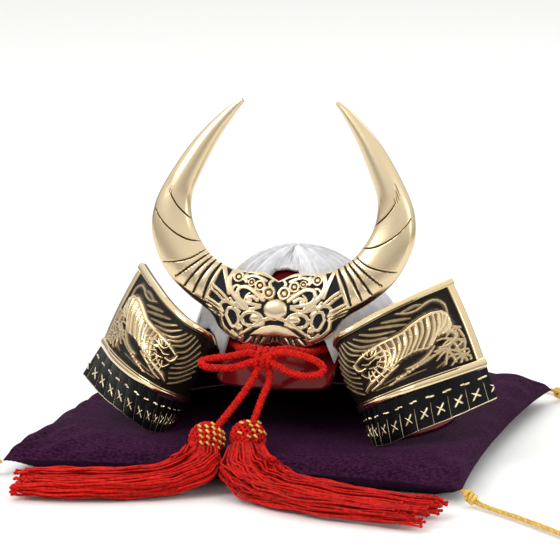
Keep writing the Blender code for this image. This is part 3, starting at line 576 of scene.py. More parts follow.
def crepe():
    """Purple crepe: crinkled fine grain over slow changes of shade."""
    dark, light = (0.012, 0.0025, 0.011), (0.062, 0.014, 0.052)
    made = new_material("purple_crepe", (0.07, 0.022, 0.10), 0.85)
    tree = made.node_tree
    grain = add_noise(tree, 900, 3, (0.6, 1.0, 1.0))
    grain_shade = span(tree, grain, 0.35, 0.65, 0, 0.5)
    shade = calculate(tree, "MULTIPLY_ADD", add_noise(tree, 40, 4), 0.4, grain_shade)
    set_inputs(tree.nodes["Principled BSDF"], {
        "Base Color": ramp(tree, shade, ((0.15, dark), (0.9, light))),
        "Sheen Weight": 0.015,
        "Sheen Tint": (0.6, 0.3, 0.65, 1),
        "Specular IOR Level": 0.04,
    })
    add_bump(tree, grain, 0.9, 0.0013)
    return made


def make_floor():
    mesh = bpy.data.meshes.new("floor")
    half = 6
    corners = [(-half, -half, 0), (half, -half, 0), (half, half, 0), (-half, half, 0)]
    mesh.from_pydata(corners, [], [(0, 1, 2, 3)])
    floor = bpy.data.objects.new("floor", mesh)
    bpy.context.scene.collection.objects.link(floor)
    mesh.materials.append(new_material("pale_floor", (0.85, 0.85, 0.84), 0.6))


def make_light(name, place, size, power):
    """A square soft light turned to the helmet's middle."""
    data = bpy.data.lights.new(name, "AREA")
    data.size = size
    data.energy = power
    light = bpy.data.objects.new(name, data)
    light.location = place
    light.rotation_euler = (Vector((0, 0, 0.06)) - Vector(place)).to_track_quat("-Z", "Y").to_euler()
    bpy.context.scene.collection.objects.link(light)


def studio():
    """A pale floor under a bright sky that dims towards the horizon, and three soft lights."""
    bpy.context.scene.view_settings.view_transform = "Standard"
    world = bpy.data.worlds.new("studio")
    bpy.context.scene.world = world
    world.use_nodes = True
    tree = world.node_tree
    direction = add_node(tree, "TexCoord", {}).outputs["Generated"]
    height = add_node(tree, "SeparateXYZ", {0: direction}).outputs["Z"]
    rise = calculate(tree, "MULTIPLY_ADD", height, 0.5, 0.5)
    sky = ramp(tree, rise, (
        (0.40, (0.12, 0.12, 0.12)), (0.52, (0.30, 0.30, 0.30)), (0.62, (0.85, 0.85, 0.85)),
        (0.80, (1.1, 1.1, 1.08)),
    ))
    set_inputs(tree.nodes["Background"], {"Color": sky, "Strength": 0.98})
    make_floor()
    make_light("key", (-0.8, -1.0, 1.2), 0.8, 11)
    make_light("fill", (1.3, -0.9, 0.7), 0.7, 4)
    make_light("back", (0.1, 1.2, 1.5), 1.4, 8)


def knob_level(knob, x, z):
    """How raised (0 to 1) a knob is: a dome, or a ring round a dot where it is hollow."""
    r = np.hypot((x - knob.x) / knob.half_width, (z - knob.z) / knob.half_height)
    if knob.hollow:
        ring = np.maximum(ease((1 - np.abs(r - 0.78) / 0.24) * 1.8), ease((0.42 - r) * 5))
        return np.where(r < 1.05, 0.25 + 0.75 * ring, 0)
    return np.sqrt(np.clip(1 - r**3, 0, 1))


def chin_rise(x, z):
    """How raised (millimetres) the plate at the face's foot and the fringe below it are."""
    top = np.interp(x, (0, 0.05, 0.1, 0.15, 0.2, 0.24), (0.162, 0.158, 0.142, 0.112, 0.076, 0.058))
    low = 0.066 + 0.02 * x
    plate = 1.5 * ease(np.minimum(top - z, z - low) * FACE_SCALE / 0.9) * (x < 0.24)
    comb = 0.5 + 0.5 * np.cos(2 * np.pi * (x - 0.55 * (0.07 - z) + 0.010 * np.sin(45 * x)) / 0.058)
    fringe = ease(comb * 1.9) * (z < 0.068) * (z > 0.0) * (x > 0.012) * (x < 0.30)
    return np.maximum(plate, 1.1 * fringe * ease((z + 0.01) / 0.02))


def face_level(x, z):
    """How raised (millimetres) the face's relief is, and how bright (0 to 1) its colour is painted: painted
    shade on low places, painted highlight on high ones.
    """
    x = np.abs(x)
    rise = np.zeros(x.shape)
    for stroke in FACE_STROKES:
        d, _ = line_distance(x, z, stroke.points)
        rise = np.maximum(rise, stroke.rise * ease(2.3 * (1 - d * FACE_SCALE / (1.24 * stroke.width))))
    for knob in FACE_KNOBS:
        rise = np.maximum(rise, knob.rise * knob_level(knob, x, z))
    rise = np.maximum(rise, chin_rise(x, z))
    for line in LEAF_VEINS:
        d, _ = line_distance(x, z, line)
        rise -= 0.9 * ease(1 - d * FACE_SCALE / 0.45) * (rise > 0.3)
    # The second value paints shade and highlight by height.
    return rise, ease((rise - 0.3) / 0.4)


def horn_cuts(reach, v):
    """How deep (0 to 1) the cuts across the horns are."""
    cut = np.zeros(reach.shape)
    for width, line in HORN_CUTS:
        scaled = [(a * HORN_LENGTH, b * HORN_WIDTH) for a, b in line]
        d, along = line_distance(reach * HORN_LENGTH, v * HORN_WIDTH, scaled)
        slim = 0.35 + 0.65 * np.sin(np.pi * (0.15 + 0.8 * along))
        cut = np.maximum(cut, ease(1.3 * (1 - d / (width * slim))))
    return cut


def crest_grid():
    """Places on the crest: share from its middle to a tip, negative on the left, and share across."""
    half = np.concatenate([
        np.linspace(0, 0.36, 96)[:-1], np.linspace(0.36, 0.70, 124)[:-1], np.linspace(0.70, 1, 20)
    ])
    s = np.linspace(0, 1, 140)
    return np.meshgrid(np.concatenate([-half[:0:-1], half]), (1 - np.cos(np.pi * s)) / 2 * 0.35 + s * 0.65)


def crest_faces(rows, columns):
    """Faces of a casting: its front grid, a wall round it, and a back across the wall's far edge."""
    i, j = border(rows, columns)
    ring = i * columns + j
    first = rows * columns
    k = np.arange(len(ring))
    n = (k + 1) % len(ring)
    sides = np.stack([ring[n], ring[k], first + k, first + n], -1)
    low = first + np.arange(columns)
    high = first + columns + rows - 2 + np.arange(columns)
    top_row = high[::-1]
    back = np.stack([low[1:], low[:-1], top_row[:-1], top_row[1:]], -1)
    return ring, np.concatenate([grid_faces(rows, columns), sides, back])


def make_crest(look):
    """Two horns and the face between them, in one casting."""
    t, v = crest_grid()
    reach = np.abs(t)
    section = rows_at(CREST, reach)
    x = np.sign(t) * mix(section[..., 0], section[..., 2], v) * CREST_HALF_WIDTH
    up = mix(section[..., 1], section[..., 3], v) * CREST_HEIGHT
    dome = (1 - (2 * v - 1) ** 2) ** 0.8
    horn = ease((reach - 0.288) / 0.15)
    crown = mix(FACE_CROWN, HORN_CROWN, horn) * dome * (1 - 0.8 * ease((reach - 0.75) / 0.25))
    rise, painted_height_shading = face_level(x / CREST_HALF_WIDTH, up / CREST_HALF_WIDTH)
    cut = horn_cuts(reach, v)
    on_horn = ease((reach - 0.345) / 0.012)
    border_bright = ease((0.02 - np.minimum(v, 1 - v)) / 0.01) * 0.8
    # Painted light on the crest: the face darker low and brighter high, and the horns painted dark in their
    # cuts as shade.
    level = mix(np.maximum(painted_height_shading, border_bright), 1 - cut, on_horn)
    height = mix(rise - 0.9, 0.9 - 1.1 * cut, on_horn) * MM * np.minimum(dome * 2.4, 1)
    depth = CREST_EDGE * mix(1, 0.6, ease(reach)) + crown + height
    forward = np.array((0, -1, CREST_LEAN)) / math.hypot(1, CREST_LEAN)
    flat = np.stack([x, CREST_Y + CREST_LEAN * up, CREST_Z + up], -1) + HELMET
    front = flat + forward * depth[..., None]
    ring, faces = crest_faces(*t.shape)
    points = np.concatenate([front.reshape(-1, 3), flat.reshape(-1, 3)[ring]])
    marks = np.concatenate([level.ravel(), np.full(len(ring), 0.9)])
    made = piece("horned_crest", points, faces, look, {"level": marks})
    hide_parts("crest")
    made.data.set_sharp_from_angle(angle=math.radians(50))


def wing_grid(u, w):
    """The right wing's plain outer face and its outward directions; w over 1 is the black tier."""
    row = rows_at(WING, u)
    size = np.array((WING_REACH, WING_FRONT, WING_HEIGHT))
    top, low, band = (row[..., k:k + 3] * size + np.array((0, 0, BASE_Z)) for k in (0, 3, 6))
    share = w[..., None]
    panel = mix(top, low, np.minimum(share, 1))
    points = np.where(share <= 1, panel, mix(low, band, np.maximum(share - 1, 0)))
    down = np.where(share <= 1, low - top, band - low)
    return points, unit(np.cross(down, np.gradient(points, axis=1)))


def ray(degrees):
    """A millimetre's step on a panel in one direction, as shares of its length and drop."""
    turn = math.radians(degrees)
    return np.array((math.cos(turn) / PANEL_LENGTH, math.sin(turn) / PANEL_DROP))


def panel_ridges():
    """Every ridge on a panel, as a stroke and the number of points on its line."""
    for line in WIND:
        yield Stroke(1.75, 1.0, line), 10
    back = rows_at(TIGER[0].points, np.linspace(0.3, 0.93, STRIPES))
    belly_line = ((0.36, 0.66),) + TIGER[10].points[1:] + ((0.80, 0.52),)
    belly = rows_at(belly_line, np.linspace(0, 1, STRIPES))
    for k, (p, q) in enumerate(zip(back, belly)):
        stripe = (p, (p + q) / 2 + np.array((0.028, 0.0)), q)
        yield Stroke(4.5, 0.85, stripe), 10
        yield Stroke(1.45, 2.1 - 0.4 * (k % 2), stripe), 10
    for stroke in TIGER:
        yield Stroke(1.9 * stroke.width, 0.55 * stroke.rise, stroke.points), 14
        yield Stroke(1.05 * stroke.width, stroke.rise, stroke.points), 14
    for k in range(10):
        out = ray(-110 + 25 * k)
        mane = ((0.265, 0.515) + out * 4.6, (0.27, 0.53) + out * 7, (0.285, 0.56) + out * 9.5)
        yield Stroke(1.3, 1.8, mane), 10
    for a, b in LEAVES:
        for k in range(5):
            out = ray(200 - 42 * k)
            yield Stroke(1.1, 1.5, ((a, b), (a, b) + out * 3.6, (a, b + 0.02) + out * 6.5)), 10


def panel_figure(x, z):
    """How raised (millimetres) the tiger, its ground and the wind are at places in millimetres."""
    rise = np.zeros(x.shape)
    for stroke, samples in panel_ridges():
        scaled = [(a * PANEL_LENGTH, b * PANEL_DROP) for a, b in stroke.points]
        d, along = line_distance(x, z, scaled, samples)
        slim = 0.45 + 0.55 * np.sin(np.pi * (0.15 + 0.75 * along))
        rise = np.maximum(rise, stroke.rise * ease(1.25 * (1 - d / (stroke.width * slim))))
    for k in range(64):
        a = 0.24 + 0.60 * ((k * 0.618) % 1)
        b = 0.68 + 0.18 * ((k * 0.381 + 0.2) % 1) - 0.1 * (a - 0.3)
        r = np.hypot(x - a * PANEL_LENGTH, z - b * PANEL_DROP) / (0.6 + 0.6 * ((k * 0.37) % 1))
        rise = np.maximum(rise, 1.5 * np.sqrt(np.clip(1 - r * r, 0, 1)))
    return rise


def panel_relief(u, w):
    """How raised (millimetres) the panel's relief is, and how bright (0 to 1) its colour is painted: painted
    shade on low places and in the grooves, painted highlight on the ridges and rails.
    """
    s = (u - BEND_SHARE) / (1 - BEND_SHARE)
    field = ease((w - 0.095) / 0.015) * ease((0.89 - w) / 0.015) * ease((0.966 - u) / 0.008)
    rise = panel_figure(s * PANEL_LENGTH, w * PANEL_DROP) * field
    # Painted shade and highlight: brighter the higher the relief, dimmed outside the field, grooves painted
    # dark.
    painted_height_shading = np.interp(rise, (0, 0.35, 0.8, 1.3, 1.9), (0.10, 0.21, 0.41, 0.63, 0.93)) * (0.25 + 0.75 * field)
    rail = np.maximum(ease((w - 0.90) / 0.01), ease((u - 0.973) / 0.006))
    rail = np.maximum(ease((0.085 - w) / 0.01), rail)
    middle = np.minimum(np.abs(w - 0.042) / 0.045, np.abs(w - 0.952) / 0.05)
    round_top = np.sqrt(np.clip(1 - np.minimum(middle, 1) ** 2, 0, 1))
    groove = ease(1 - np.abs(w - 0.068) / 0.011) * ease((0.86 - u) / 0.03)
    groove = np.maximum(groove, ease(1 - np.abs(w - 0.925) / 0.011) * ease((0.92 - u) / 0.03))
    rise = np.maximum(rise, rail * (0.8 + 0.8 * round_top)) - groove * 0.8
    return rise, np.maximum(painted_height_shading * (1 - rail), rail * (1 - 0.95 * groove))


def closed_sheet(front, back, keep):
    """Points and triangles of a thin body between two grids; its back has only the rows in keep."""
    rows, columns = front.shape[:2]
    count = rows * columns
    keep = np.asarray(keep)
    near = grid_faces(rows, columns)
    far = grid_faces(len(keep), columns, count)[:, ::-1]
    nearest = np.searchsorted((keep[1:] + keep[:-1]) / 2, np.arange(rows))
    i, j = border(rows, columns)
    ring = i * columns + j
    behind = count + nearest[i] * columns + j
    after, behind_after = np.roll(ring, -1), np.roll(behind, -1)
    sides = np.stack([after, ring, behind], -1)
    others = np.stack([after, behind, behind_after], -1)[behind != behind_after]
    quads = np.concatenate([near, far])
    faces = np.concatenate([quads[:, [0, 1, 2]], quads[:, [0, 2, 3]], sides, others])
    return np.concatenate([front.reshape(-1, 3), back[keep].reshape(-1, 3)]), faces


def rows_kept(rows, count):
    return np.unique(np.linspace(0, rows - 1, count).round().astype(int))


def wing_sheet(name, side, front, back, back_rows, level, back_level, look):
    """A thin body made on the right side and turned over for the left one."""
    points, faces = closed_sheet(front, back, rows_kept(len(front), back_rows))
    points = points * np.array((side, 1, 1)) + HELMET
    if side < 0:
        faces = faces[:, ::-1]
    marks = np.concatenate([level.ravel(), np.full(len(points) - level.size, back_level)])
    return piece(name, points, faces, look, {"level": marks})


def make_wing(side, label, look):
    """A turned-back panel in relief, with a plain back."""
    us = np.concatenate([np.linspace(0, 0.3, 20)[:-1], np.linspace(0.3, 1, 270)])
    u, w = np.meshgrid(us, np.linspace(0, 1, 150))
    base, out = wing_grid(u, w)
    bulge = PANEL_BULGE * np.sin(np.pi * w) * ease((u - 0.1) / 0.25) * (1 - 0.6 * ease((u - 0.5) / 0.5))
    rise, painted_height_shading = panel_relief(u, w)
    front = base + out * (bulge + (rise - 0.3) * MM * 1.2)[..., None]
    back = base + out * (bulge - PANEL_WALL)[..., None]
    # The relief's painted shade and painted highlight go onto the panel as its level.
    made = wing_sheet("side_panel_" + label, side, front, back, 9, painted_height_shading, 0.35, look)
    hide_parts("fukigaeshi_" + label)


def crossed_stitch(x, z, lean):
    """How bright (0 to 1) two crossed arms round the middle are."""
    arm_a = np.abs(x * (0.78 + lean) + z * 0.62)
    arm_b = np.abs(x * 0.74 - z * (0.66 + lean)) + 0.25 * ease(-z / 2)
    long_arm = ease(1.6 * (1 - arm_a / 0.58)) * ease(2.0 * (1 - np.hypot(x, z) / 3.9))
    short_arm = ease(1.6 * (1 - arm_b / 0.55)) * ease(2.0 * (1 - np.hypot(x, z) / 3.2))
    return np.maximum(long_arm, short_arm)


def band_marks(u, w):
    """Plates, gold lines, bars and crossed stitches on the black tier: (rise in millimetres, gold)."""
    x = (u - BEND_SHARE) / (1 - BEND_SHARE) * PANEL_LENGTH
    z = (w - 1) * TIER_DROP
    plate = np.round(x / PLATE_WIDTH + 0.25)
    offset = x - (plate - 0.25) * PLATE_WIDTH
    odd = (plate * 0.618) % 1
    from_line = PLATE_WIDTH / 2 - np.abs(offset + 0.03 * (z - TIER_DROP * 0.6))
    line = ease(1.6 * (1 - np.abs(from_line) / 0.30)) * ease((z - 6.6) / 1.0)
    bar = ease(1.8 * (1 - np.abs(z - 4.4 - 0.5 * odd) / 0.55))
    bar = bar * ease(2.4 * (1 - from_line / (2.3 + 0.5 * odd)))
    cross = crossed_stitch(offset + 0.5 * (odd - 0.5), z - 10.9 - 0.8 * odd, 0.25 * (odd - 0.5))
    edge = 0.8 * ease((z - TIER_DROP + 0.55) / 0.25)
    gold = np.maximum(np.maximum(0.75 * line, bar), np.maximum(cross, edge))
    step = 0.55 * (offset / PLATE_WIDTH + 0.5) + 0.25 * np.cos(np.pi * offset / PLATE_WIDTH)
    return step + 0.6 * np.maximum(np.maximum(bar, cross), 0.4 * line), gold


def make_band(side, label, look):
    """The black laced tier below a panel."""
    ws = np.linspace(1 + GAP / (WING_HEIGHT * 0.23), 2, 60)
    u, w = np.meshgrid(np.linspace(0, 1, 380), ws)
    base, out = wing_grid(u, w)
    rise, gold = band_marks(u, w)
    front = base + out * (rise * MM)[..., None]
    made = wing_sheet("black_tier_" + label, side, front, base - out * TIER_WALL, 3, gold, 0, look)
    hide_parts("laced_band_" + label)


def smooth_run(points, step):
    """A smooth line through points in millimetres, resampled evenly, in world metres."""
    fine = rows_at(np.array(points, float), np.linspace(0, 1, 400)) * MM + HELMET
    return resample(fine, step)


def rows_between(at, places, rows):
    """A table's rows read at new places, in a straight line between the ones given."""
    return np.stack([np.interp(at, places, rows[:, i]) for i in range(3)], -1)


def distances(line):
    return np.concatenate([[0], np.cumsum(np.linalg.norm(np.diff(line, axis=0), axis=1))])


def resample(line, step):
    lengths = distances(line)
    count = max(4, int(lengths[-1] / step))
    return rows_between(np.linspace(0, lengths[-1], count), lengths, line)


def length_of(line):
    return float(np.linalg.norm(np.diff(line, axis=0), axis=1).sum())


def braid_runs(line, diameter):
    """Eight strands round a core painted dark as the shade between them, four each way, passing over and
    under each other; each strand is painted darker where it passes under and lighter where it passes over.
    """
    side, up = frames(line)
    lengths = distances(line)
    pitch = diameter * 1.75
    strand = diameter * 0.155
    ring = diameter / 2 - strand
    # The core carries the darkest shade value: painted shade seen in the gaps between strands.
    runs = [(line, diameter * 0.24, 5, np.zeros(len(line)))]
    for k in range(8):
        way = 1 if k % 2 else -1
        phase = 2 * np.pi * (k // 2) / 4
        turn = way * 2 * np.pi * lengths / pitch + phase
        weave = np.cos(4 * 2 * np.pi * lengths / pitch + (0 if way > 0 else np.pi))
        radius = ring - strand * 0.5 + strand * 0.5 * weave
        # Painted shade and highlight: each strand darker where it dives under, lighter where it rides over.
        shade = np.clip(0.1 + 0.9 * (0.5 + 0.6 * weave), 0, 1)
        runs.append((around(line, side, up, radius, turn), strand, 5, shade))
    return runs


def make_cord_piece(name, points, look, node):
    line = smooth_run(points, 0.75 * MM)
    made = tubes_mesh(name, braid_runs(line, CORD), look)
    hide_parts(node)
    return made, line, resample(line, PATH_STEP)


def loop_points():
    """The waist cord's route: given points from the bow, then round the bowl just off it."""
    off = CORD / 2 + GAP * 1.5
    lift = (LOOP_Z - RIM_Z) / BOWL_HEIGHT
    ring = math.sqrt(1 - lift * lift)
    route = list(LOOP_LEFT)
    for degrees in range(50, 311, 20):
        turn = math.radians(degrees)
        x = -(BOWL_HALF_WIDTH * ring + off) * math.sin(turn)
        y = BOWL_Y - (BOWL_HALF_LENGTH * ring + off) * math.cos(turn)
        route.append((x / MM, y / MM, LOOP_Z / MM))
    return route + list(reversed(LOOP_RIGHT))


def make_red_cords(look, specks_look):
    """The cord round the bowl, its bow and the two ends that carry the tassels."""
    loop, line, path = make_cord_piece("waist_cord", loop_points(), look, "cord_loop")
    for label, points in (("left", BOW_LEFT), ("right", BOW_RIGHT)):
        made, line, path = make_cord_piece("bow_" + label, points, look, "bow_loop_" + label)
    for tassel in TASSELS:
        made, line, path = make_cord_piece(
            "drop_" + tassel.label, tassel.drop, look, "cord_drop_" + tassel.label
        )
        make_tassel(tassel, look, specks_look)


def make_knot(look):
    """The bow's knot: cord turned round itself three times, leaning, with short ends to each cord."""
    centre = np.array(KNOT) * MM + HELMET
    turn = np.linspace(0, 2 * np.pi, 44)
    runs = []
    for offset, lean in ((-3.2, 0.35), (0.3, 0.2), (3.6, 0.05)):
        ring = np.stack([
            offset * MM + 1.1 * MM * np.sin(turn), 3.4 * MM * np.cos(turn), 4.2 * MM * np.sin(turn + lean)
        ], -1)
        runs += braid_runs(centre + ring, CORD * 0.9)
    across = np.stack([np.linspace(-5, 5, 20), np.full(20, -2.2), np.linspace(-2.2, 2.6, 20)], -1) * MM
    runs += braid_runs(centre + across, CORD)
    for end in (BOW_LEFT[0], BOW_LEFT[-1], BOW_RIGHT[0], BOW_RIGHT[-1], DROP_LEFT[0], DROP_RIGHT[0]):
        reach = np.array(end) * MM + HELMET - centre
        runs += braid_runs(centre + reach * np.linspace(0.15, 1, 12)[:, None], CORD)
    made = tubes_mesh("knot", runs, look)
    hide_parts("bow_knot")


def woven_head(head, axis, side, up):
    """Cords that wind down a round head, seventeen each way."""
    s = np.linspace(0.05, 0.9, 36)
    polar = np.pi * s
    runs = []
    for way in (-1, 1):
        for k in range(17):
            turn = 2 * np.pi * k / 17 + way * s * 2.6
            radius = TASSEL_HEAD * 0.92 + 0.35 * MM * np.cos(17 * turn * way + (0 if way > 0 else np.pi))
            ring = circle(turn, side, up) * (radius * np.sin(polar))[:, None]
            runs.append((head + axis * (radius * np.cos(polar))[:, None] + ring, 0.72 * MM, 5))
    return runs


def skirt_path(tassel, head, axis):
    """A skirt's middle line from the head out over the floor, and three directions along it."""
    path = rows_at(np.array(tassel.skirt, float) * MM, np.linspace(0, 1, SKIRT_STEPS)) + HELMET
    path[0] = mix(head - axis * TASSEL_HEAD * 0.55, path[1], 0.35)
    along = unit(np.gradient(path, axis=0))
    across = unit(np.cross(along, (0, 0, 1.0)))
    lift = np.cross(across, along)
    path[:, 2] += 2 * MM * ease(np.linspace(0, 1, SKIRT_STEPS) * 4)
    return path, along, across, lift


def skirt_runs(rng, path, along, across, lift):
    """The skirt's strands, then the small knot at the end of each."""
    t = np.linspace(0, 1, SKIRT_STEPS)
    wide = 17 * MM * np.interp(t, (0, 0.06, 0.15, 0.4, 0.7, 1), (0.5, 0.8, 0.92, 1.0, 1.05, 0.95))
    deep = np.interp(t, (0, 0.1, 0.3, 0.7, 1), (6.4, 8.0, 7.0, 6.0, 5.0)) * MM
    knot_steps = along[-1] * np.array((0, 0.9, 1.7))[:, None] * MM
    strands, knots = [], []
    for k in range(118):
        a = math.sqrt(rng.uniform(0.02, 1)) * (1 if k % 2 else -1)
        b = rng.uniform(-1, 1) * math.sqrt(max(0, 1 - a * a * 0.7))
        share = t * rng.uniform(0.88, 1.0)
        wander = rng.uniform(-0.16, 0.16)
        sway = a * (1 + wander * np.sin(3 * np.pi * t + k)) * np.interp(share, t, wide)
        line = rows_between(share, t, path) + rows_between(share, t, across) * sway[:, None]
        line = line + rows_between(share, t, lift) * (b * np.interp(share, t, deep))[:, None]
        curl = 0.5 * MM * np.sin(9 * np.pi * t + 2.4 * k)
        line = line + np.stack([curl, 0.6 * curl, 0.7 * curl], -1)
        line[:, 2] = np.maximum(line[:, 2], 0.9 * MM)
        strands.append((line, 0.56 * MM, 5))
        knots.append((line[-1] + knot_steps, np.array((0.6, 1.0, 0.5)) * MM, 6))
    return strands + knots


def speck_runs(rng, tassel, head, axis, side, up):
    """Short bars spread over the part of a head that faces the tassel's speck side."""
    towards = unit(np.array(tassel.speck_side))
    runs = []
    for k in range(110):
        polar = math.acos(1 - 2 * (k + 0.5) / 110)
        turn = k * GOLDEN_ANGLE
        ring = math.cos(turn) * side + math.sin(turn) * up
        out = axis * math.cos(polar) + ring * math.sin(polar)
        if out @ towards < tassel.speck_share + 0.3 * rng.uniform(-0.6, 1):
            continue
        spot = head + out * TASSEL_HEAD * 1.05
        half = unit(np.cross(out, axis + 0.3 * side)) * 1.2 * MM
        runs.append((np.stack([spot - half, spot, spot + half]), 0.62 * MM, 5))
    return runs


def make_tassel(tassel, look, specks_look):
    """A woven head with specks, and a skirt of strands that sweeps over the floor."""
    rng = np.random.default_rng(tassel.seed)
    head = np.array(tassel.head) * MM + HELMET
    axis = unit(np.array(tassel.drop[-1]) * MM + HELMET - head)
    side = unit(np.cross(axis, (0, 0, 1.0)))
    up = np.cross(side, axis)
    path, along, across, lift = skirt_path(tassel, head, axis)
    runs = woven_head(head, axis, side, up) + skirt_runs(rng, path, along, across, lift)
    collar = circle(np.linspace(0, 2 * np.pi, 30), side, up) * 5.4 * MM
    for k in range(3):
        runs.append((head - axis * TASSEL_HEAD * (0.80 + 0.13 * k) + collar, 0.8 * MM, 6))
    core = head + axis * TASSEL_HEAD * np.linspace(0.9, -0.9, 14)[:, None]
    runs.append((core, TASSEL_HEAD * 0.87 * np.sqrt(1 - np.linspace(0.93, -0.93, 14) ** 2), 16))
    runs.append((path[:18], np.linspace(5.4, 2.6, 18) * MM, 12))
    made = tubes_mesh("tassel_strands_" + tassel.label, runs, look)
    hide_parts("tassel_" + tassel.label)
    specks = speck_runs(rng, tassel, head, axis, side, up)
    tubes_mesh("gold_specks_" + tassel.label, specks, specks_look)


def guard_radii(z):
    """The neck guard's half width and half length at a height."""
    drop = (RIM_Z - z) / GUARD_HEIGHT
    half_width = BOWL_HALF_WIDTH + (GUARD_GAP + GUARD_FLARE_SIDE * drop) * MM
    half_length = BOWL_HALF_LENGTH + (GUARD_GAP + GUARD_FLARE_BACK * drop) * MM
    return half_width, half_length


def hair_profile(depth):
    """The hair's middle surface: (half width, half length, height) from crown 0 to nape 1."""
    turn = np.radians(CAP_DEGREES) * np.minimum(depth / CAP_SHARE, 1)
    over_cord = CORD + 5 * GAP
    off = HAIR_OFF + over_cord * ease((np.degrees(turn) - 50) / 18)
    cap_height = BOWL_HEIGHT + HAIR_OFF
    cap = ((BOWL_HALF_WIDTH + off) * np.sin(turn), (BOWL_HALF_LENGTH + off) * np.sin(turn),
           RIM_Z + cap_height * np.cos(turn))
    fall = np.clip((depth - CAP_SHARE) / FALL_SHARE, 0, 1)
    start = RIM_Z + cap_height * math.cos(math.radians(CAP_DEGREES))
    z = mix(start, BASE_Z + HEM_LOWEST, fall)
    width, back = guard_radii(np.minimum(z, RIM_Z))
    below = (np.maximum(width + HAIR_OFF_GUARD, BOWL_HALF_WIDTH + over_cord + HAIR_OFF),
             np.maximum(back + HAIR_OFF_GUARD, BOWL_HALF_LENGTH + over_cord + HAIR_OFF), z)
    return [np.where(depth < CAP_SHARE, a, b) for a, b in zip(cap, below)]


def hair_point(degrees, depth, lift):
    width, length, z = hair_profile(depth)
    turn = np.radians(degrees)
    high = np.clip((z - RIM_Z) / BOWL_HEIGHT, 0, 1)
    out = lift * (1 - 0.75 * high**2)
    return np.stack([
        (width + out) * np.sin(turn), BOWL_Y - (length + out) * np.cos(turn), z + lift * high
    ], -1)


def hem_depth(degrees):
    """The depth at which the hair ends at an angle from the front."""
    folded = np.abs((np.asarray(degrees, float) + 180) % 360 - 180)
    keys = np.array(HEM, float)
    end_z = BASE_Z + np.interp(folded, keys[:, 0], keys[:, 1]) * MM
    depth = np.linspace(0, 1, 400)
    z = hair_profile(depth)[2]
    return np.interp(-end_z, -z, depth)


def make_hair_base(look):
    """The hair's closed shell, with combed grooves."""
    a, s = np.meshgrid(np.linspace(0, 360, 301), np.linspace(0, 1, 30))
    depth = hem_depth(a) * s
    comb = 0.15 * MM * np.cos(np.radians(a * 60)) + 0.3 * MM * np.cos(np.radians(a * 17 + 40 * s))
    front = hair_point(a, depth, comb * s)
    inner = hair_point(a, depth, np.full(a.shape, -1.6 * MM))
    points, faces = closed_sheet(front + HELMET, inner + HELMET, rows_kept(30, 10))
    # The shell takes a greyer copy of the white hair: painted shade under the strands.
    made = piece("hair_base", points, faces[:, ::-1], look, {"shade": np.full(len(points), 0.4)})
    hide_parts("hair")


def combed_strands(rng, count, s):
    """Middle lines of strands that start near the crown and are parted at the front."""
    root = rng.uniform(0, 360, count)
    start = rng.uniform(0.0, 0.5, count) ** 1.5
    drift = rng.normal(0, 7, count)
    lift = rng.uniform(0.1, 2.6, count) * MM
    folded = (root + 180) % 360 - 180
    parting = np.sign(folded) * 16 * np.exp(-((folded / 30) ** 2))
    angle = root[:, None] + (drift + parting)[:, None] * s[None] ** 1.5
    depth = hem_depth(angle) * (start[:, None] + (1.02 - start[:, None]) * s[None])
    wave = 0.35 * MM * np.sin(5 * s[None] + rng.uniform(0, 6, count)[:, None])
    swell = np.sin(np.pi * np.clip(0.12 + 0.8 * s, 0, 1))
    return hair_point(angle, depth, lift[:, None] * swell[None] + wave)


def make_hair_strands(look):
    """Two layers of long flat strands combed over the base."""
    rng = np.random.default_rng(7)
    count, steps = 3000, 16
    s = np.linspace(0, 1, steps)
    first = np.arange(count)[:, None] * steps * 2 + np.arange(steps - 1)[None] * 2
    faces = np.stack([first, first + 1, first + 3, first + 2], -1).reshape(-1, 4)
    for layer in ("under", "over"):
        centre = combed_strands(rng, count, s)
        along = np.gradient(centre, axis=1)
        outward = centre - np.array((0, BOWL_Y, RIM_Z - 20 * MM))
        across = unit(np.cross(along, outward)) * (STRAND_HALF_WIDTH * (1 - 0.6 * s[None] ** 3))[..., None]
        pair = np.stack([centre - across, centre + across], 2) + HELMET
        shade = np.repeat(rng.uniform(0, 1, count), steps * 2)
        made = piece("hair_strands_" + layer, pair, faces, look, {"shade": shade})


def cushion_surface(x, y, u, v):
    """A full pillow with a round border, pressed down by the helmet and the two tassel heads."""
    seam = SEAM_HEIGHT * (1 - 0.2 * (u * v) ** 4)
    round_up = np.clip((1 - u**9) * (1 - v**9), 0, 1) ** 0.5
    pillow = seam + (CUSHION_THICKNESS - seam) * round_up
    reach = np.hypot((x - HELMET[0]) / DISH_HALF_WIDTH, (y - HELMET[1] - BOWL_Y) / DISH_HALF_LENGTH)
    top = np.minimum(pillow, DISH_Z + DISH_LIFT + DISH_DEPTH * ease((reach - 1.2) / 0.3))
    for tassel in TASSELS:
        hx, hy, hz = tassel.head
        away = np.hypot(x - HELMET[0] - hx * MM, y - HELMET[1] - hy * MM)
        rest = hz * MM - TASSEL_HEAD - TASSEL_GAP
        top = np.minimum(top, rest + away**2 / (2 * DENT_RADIUS))
    return top


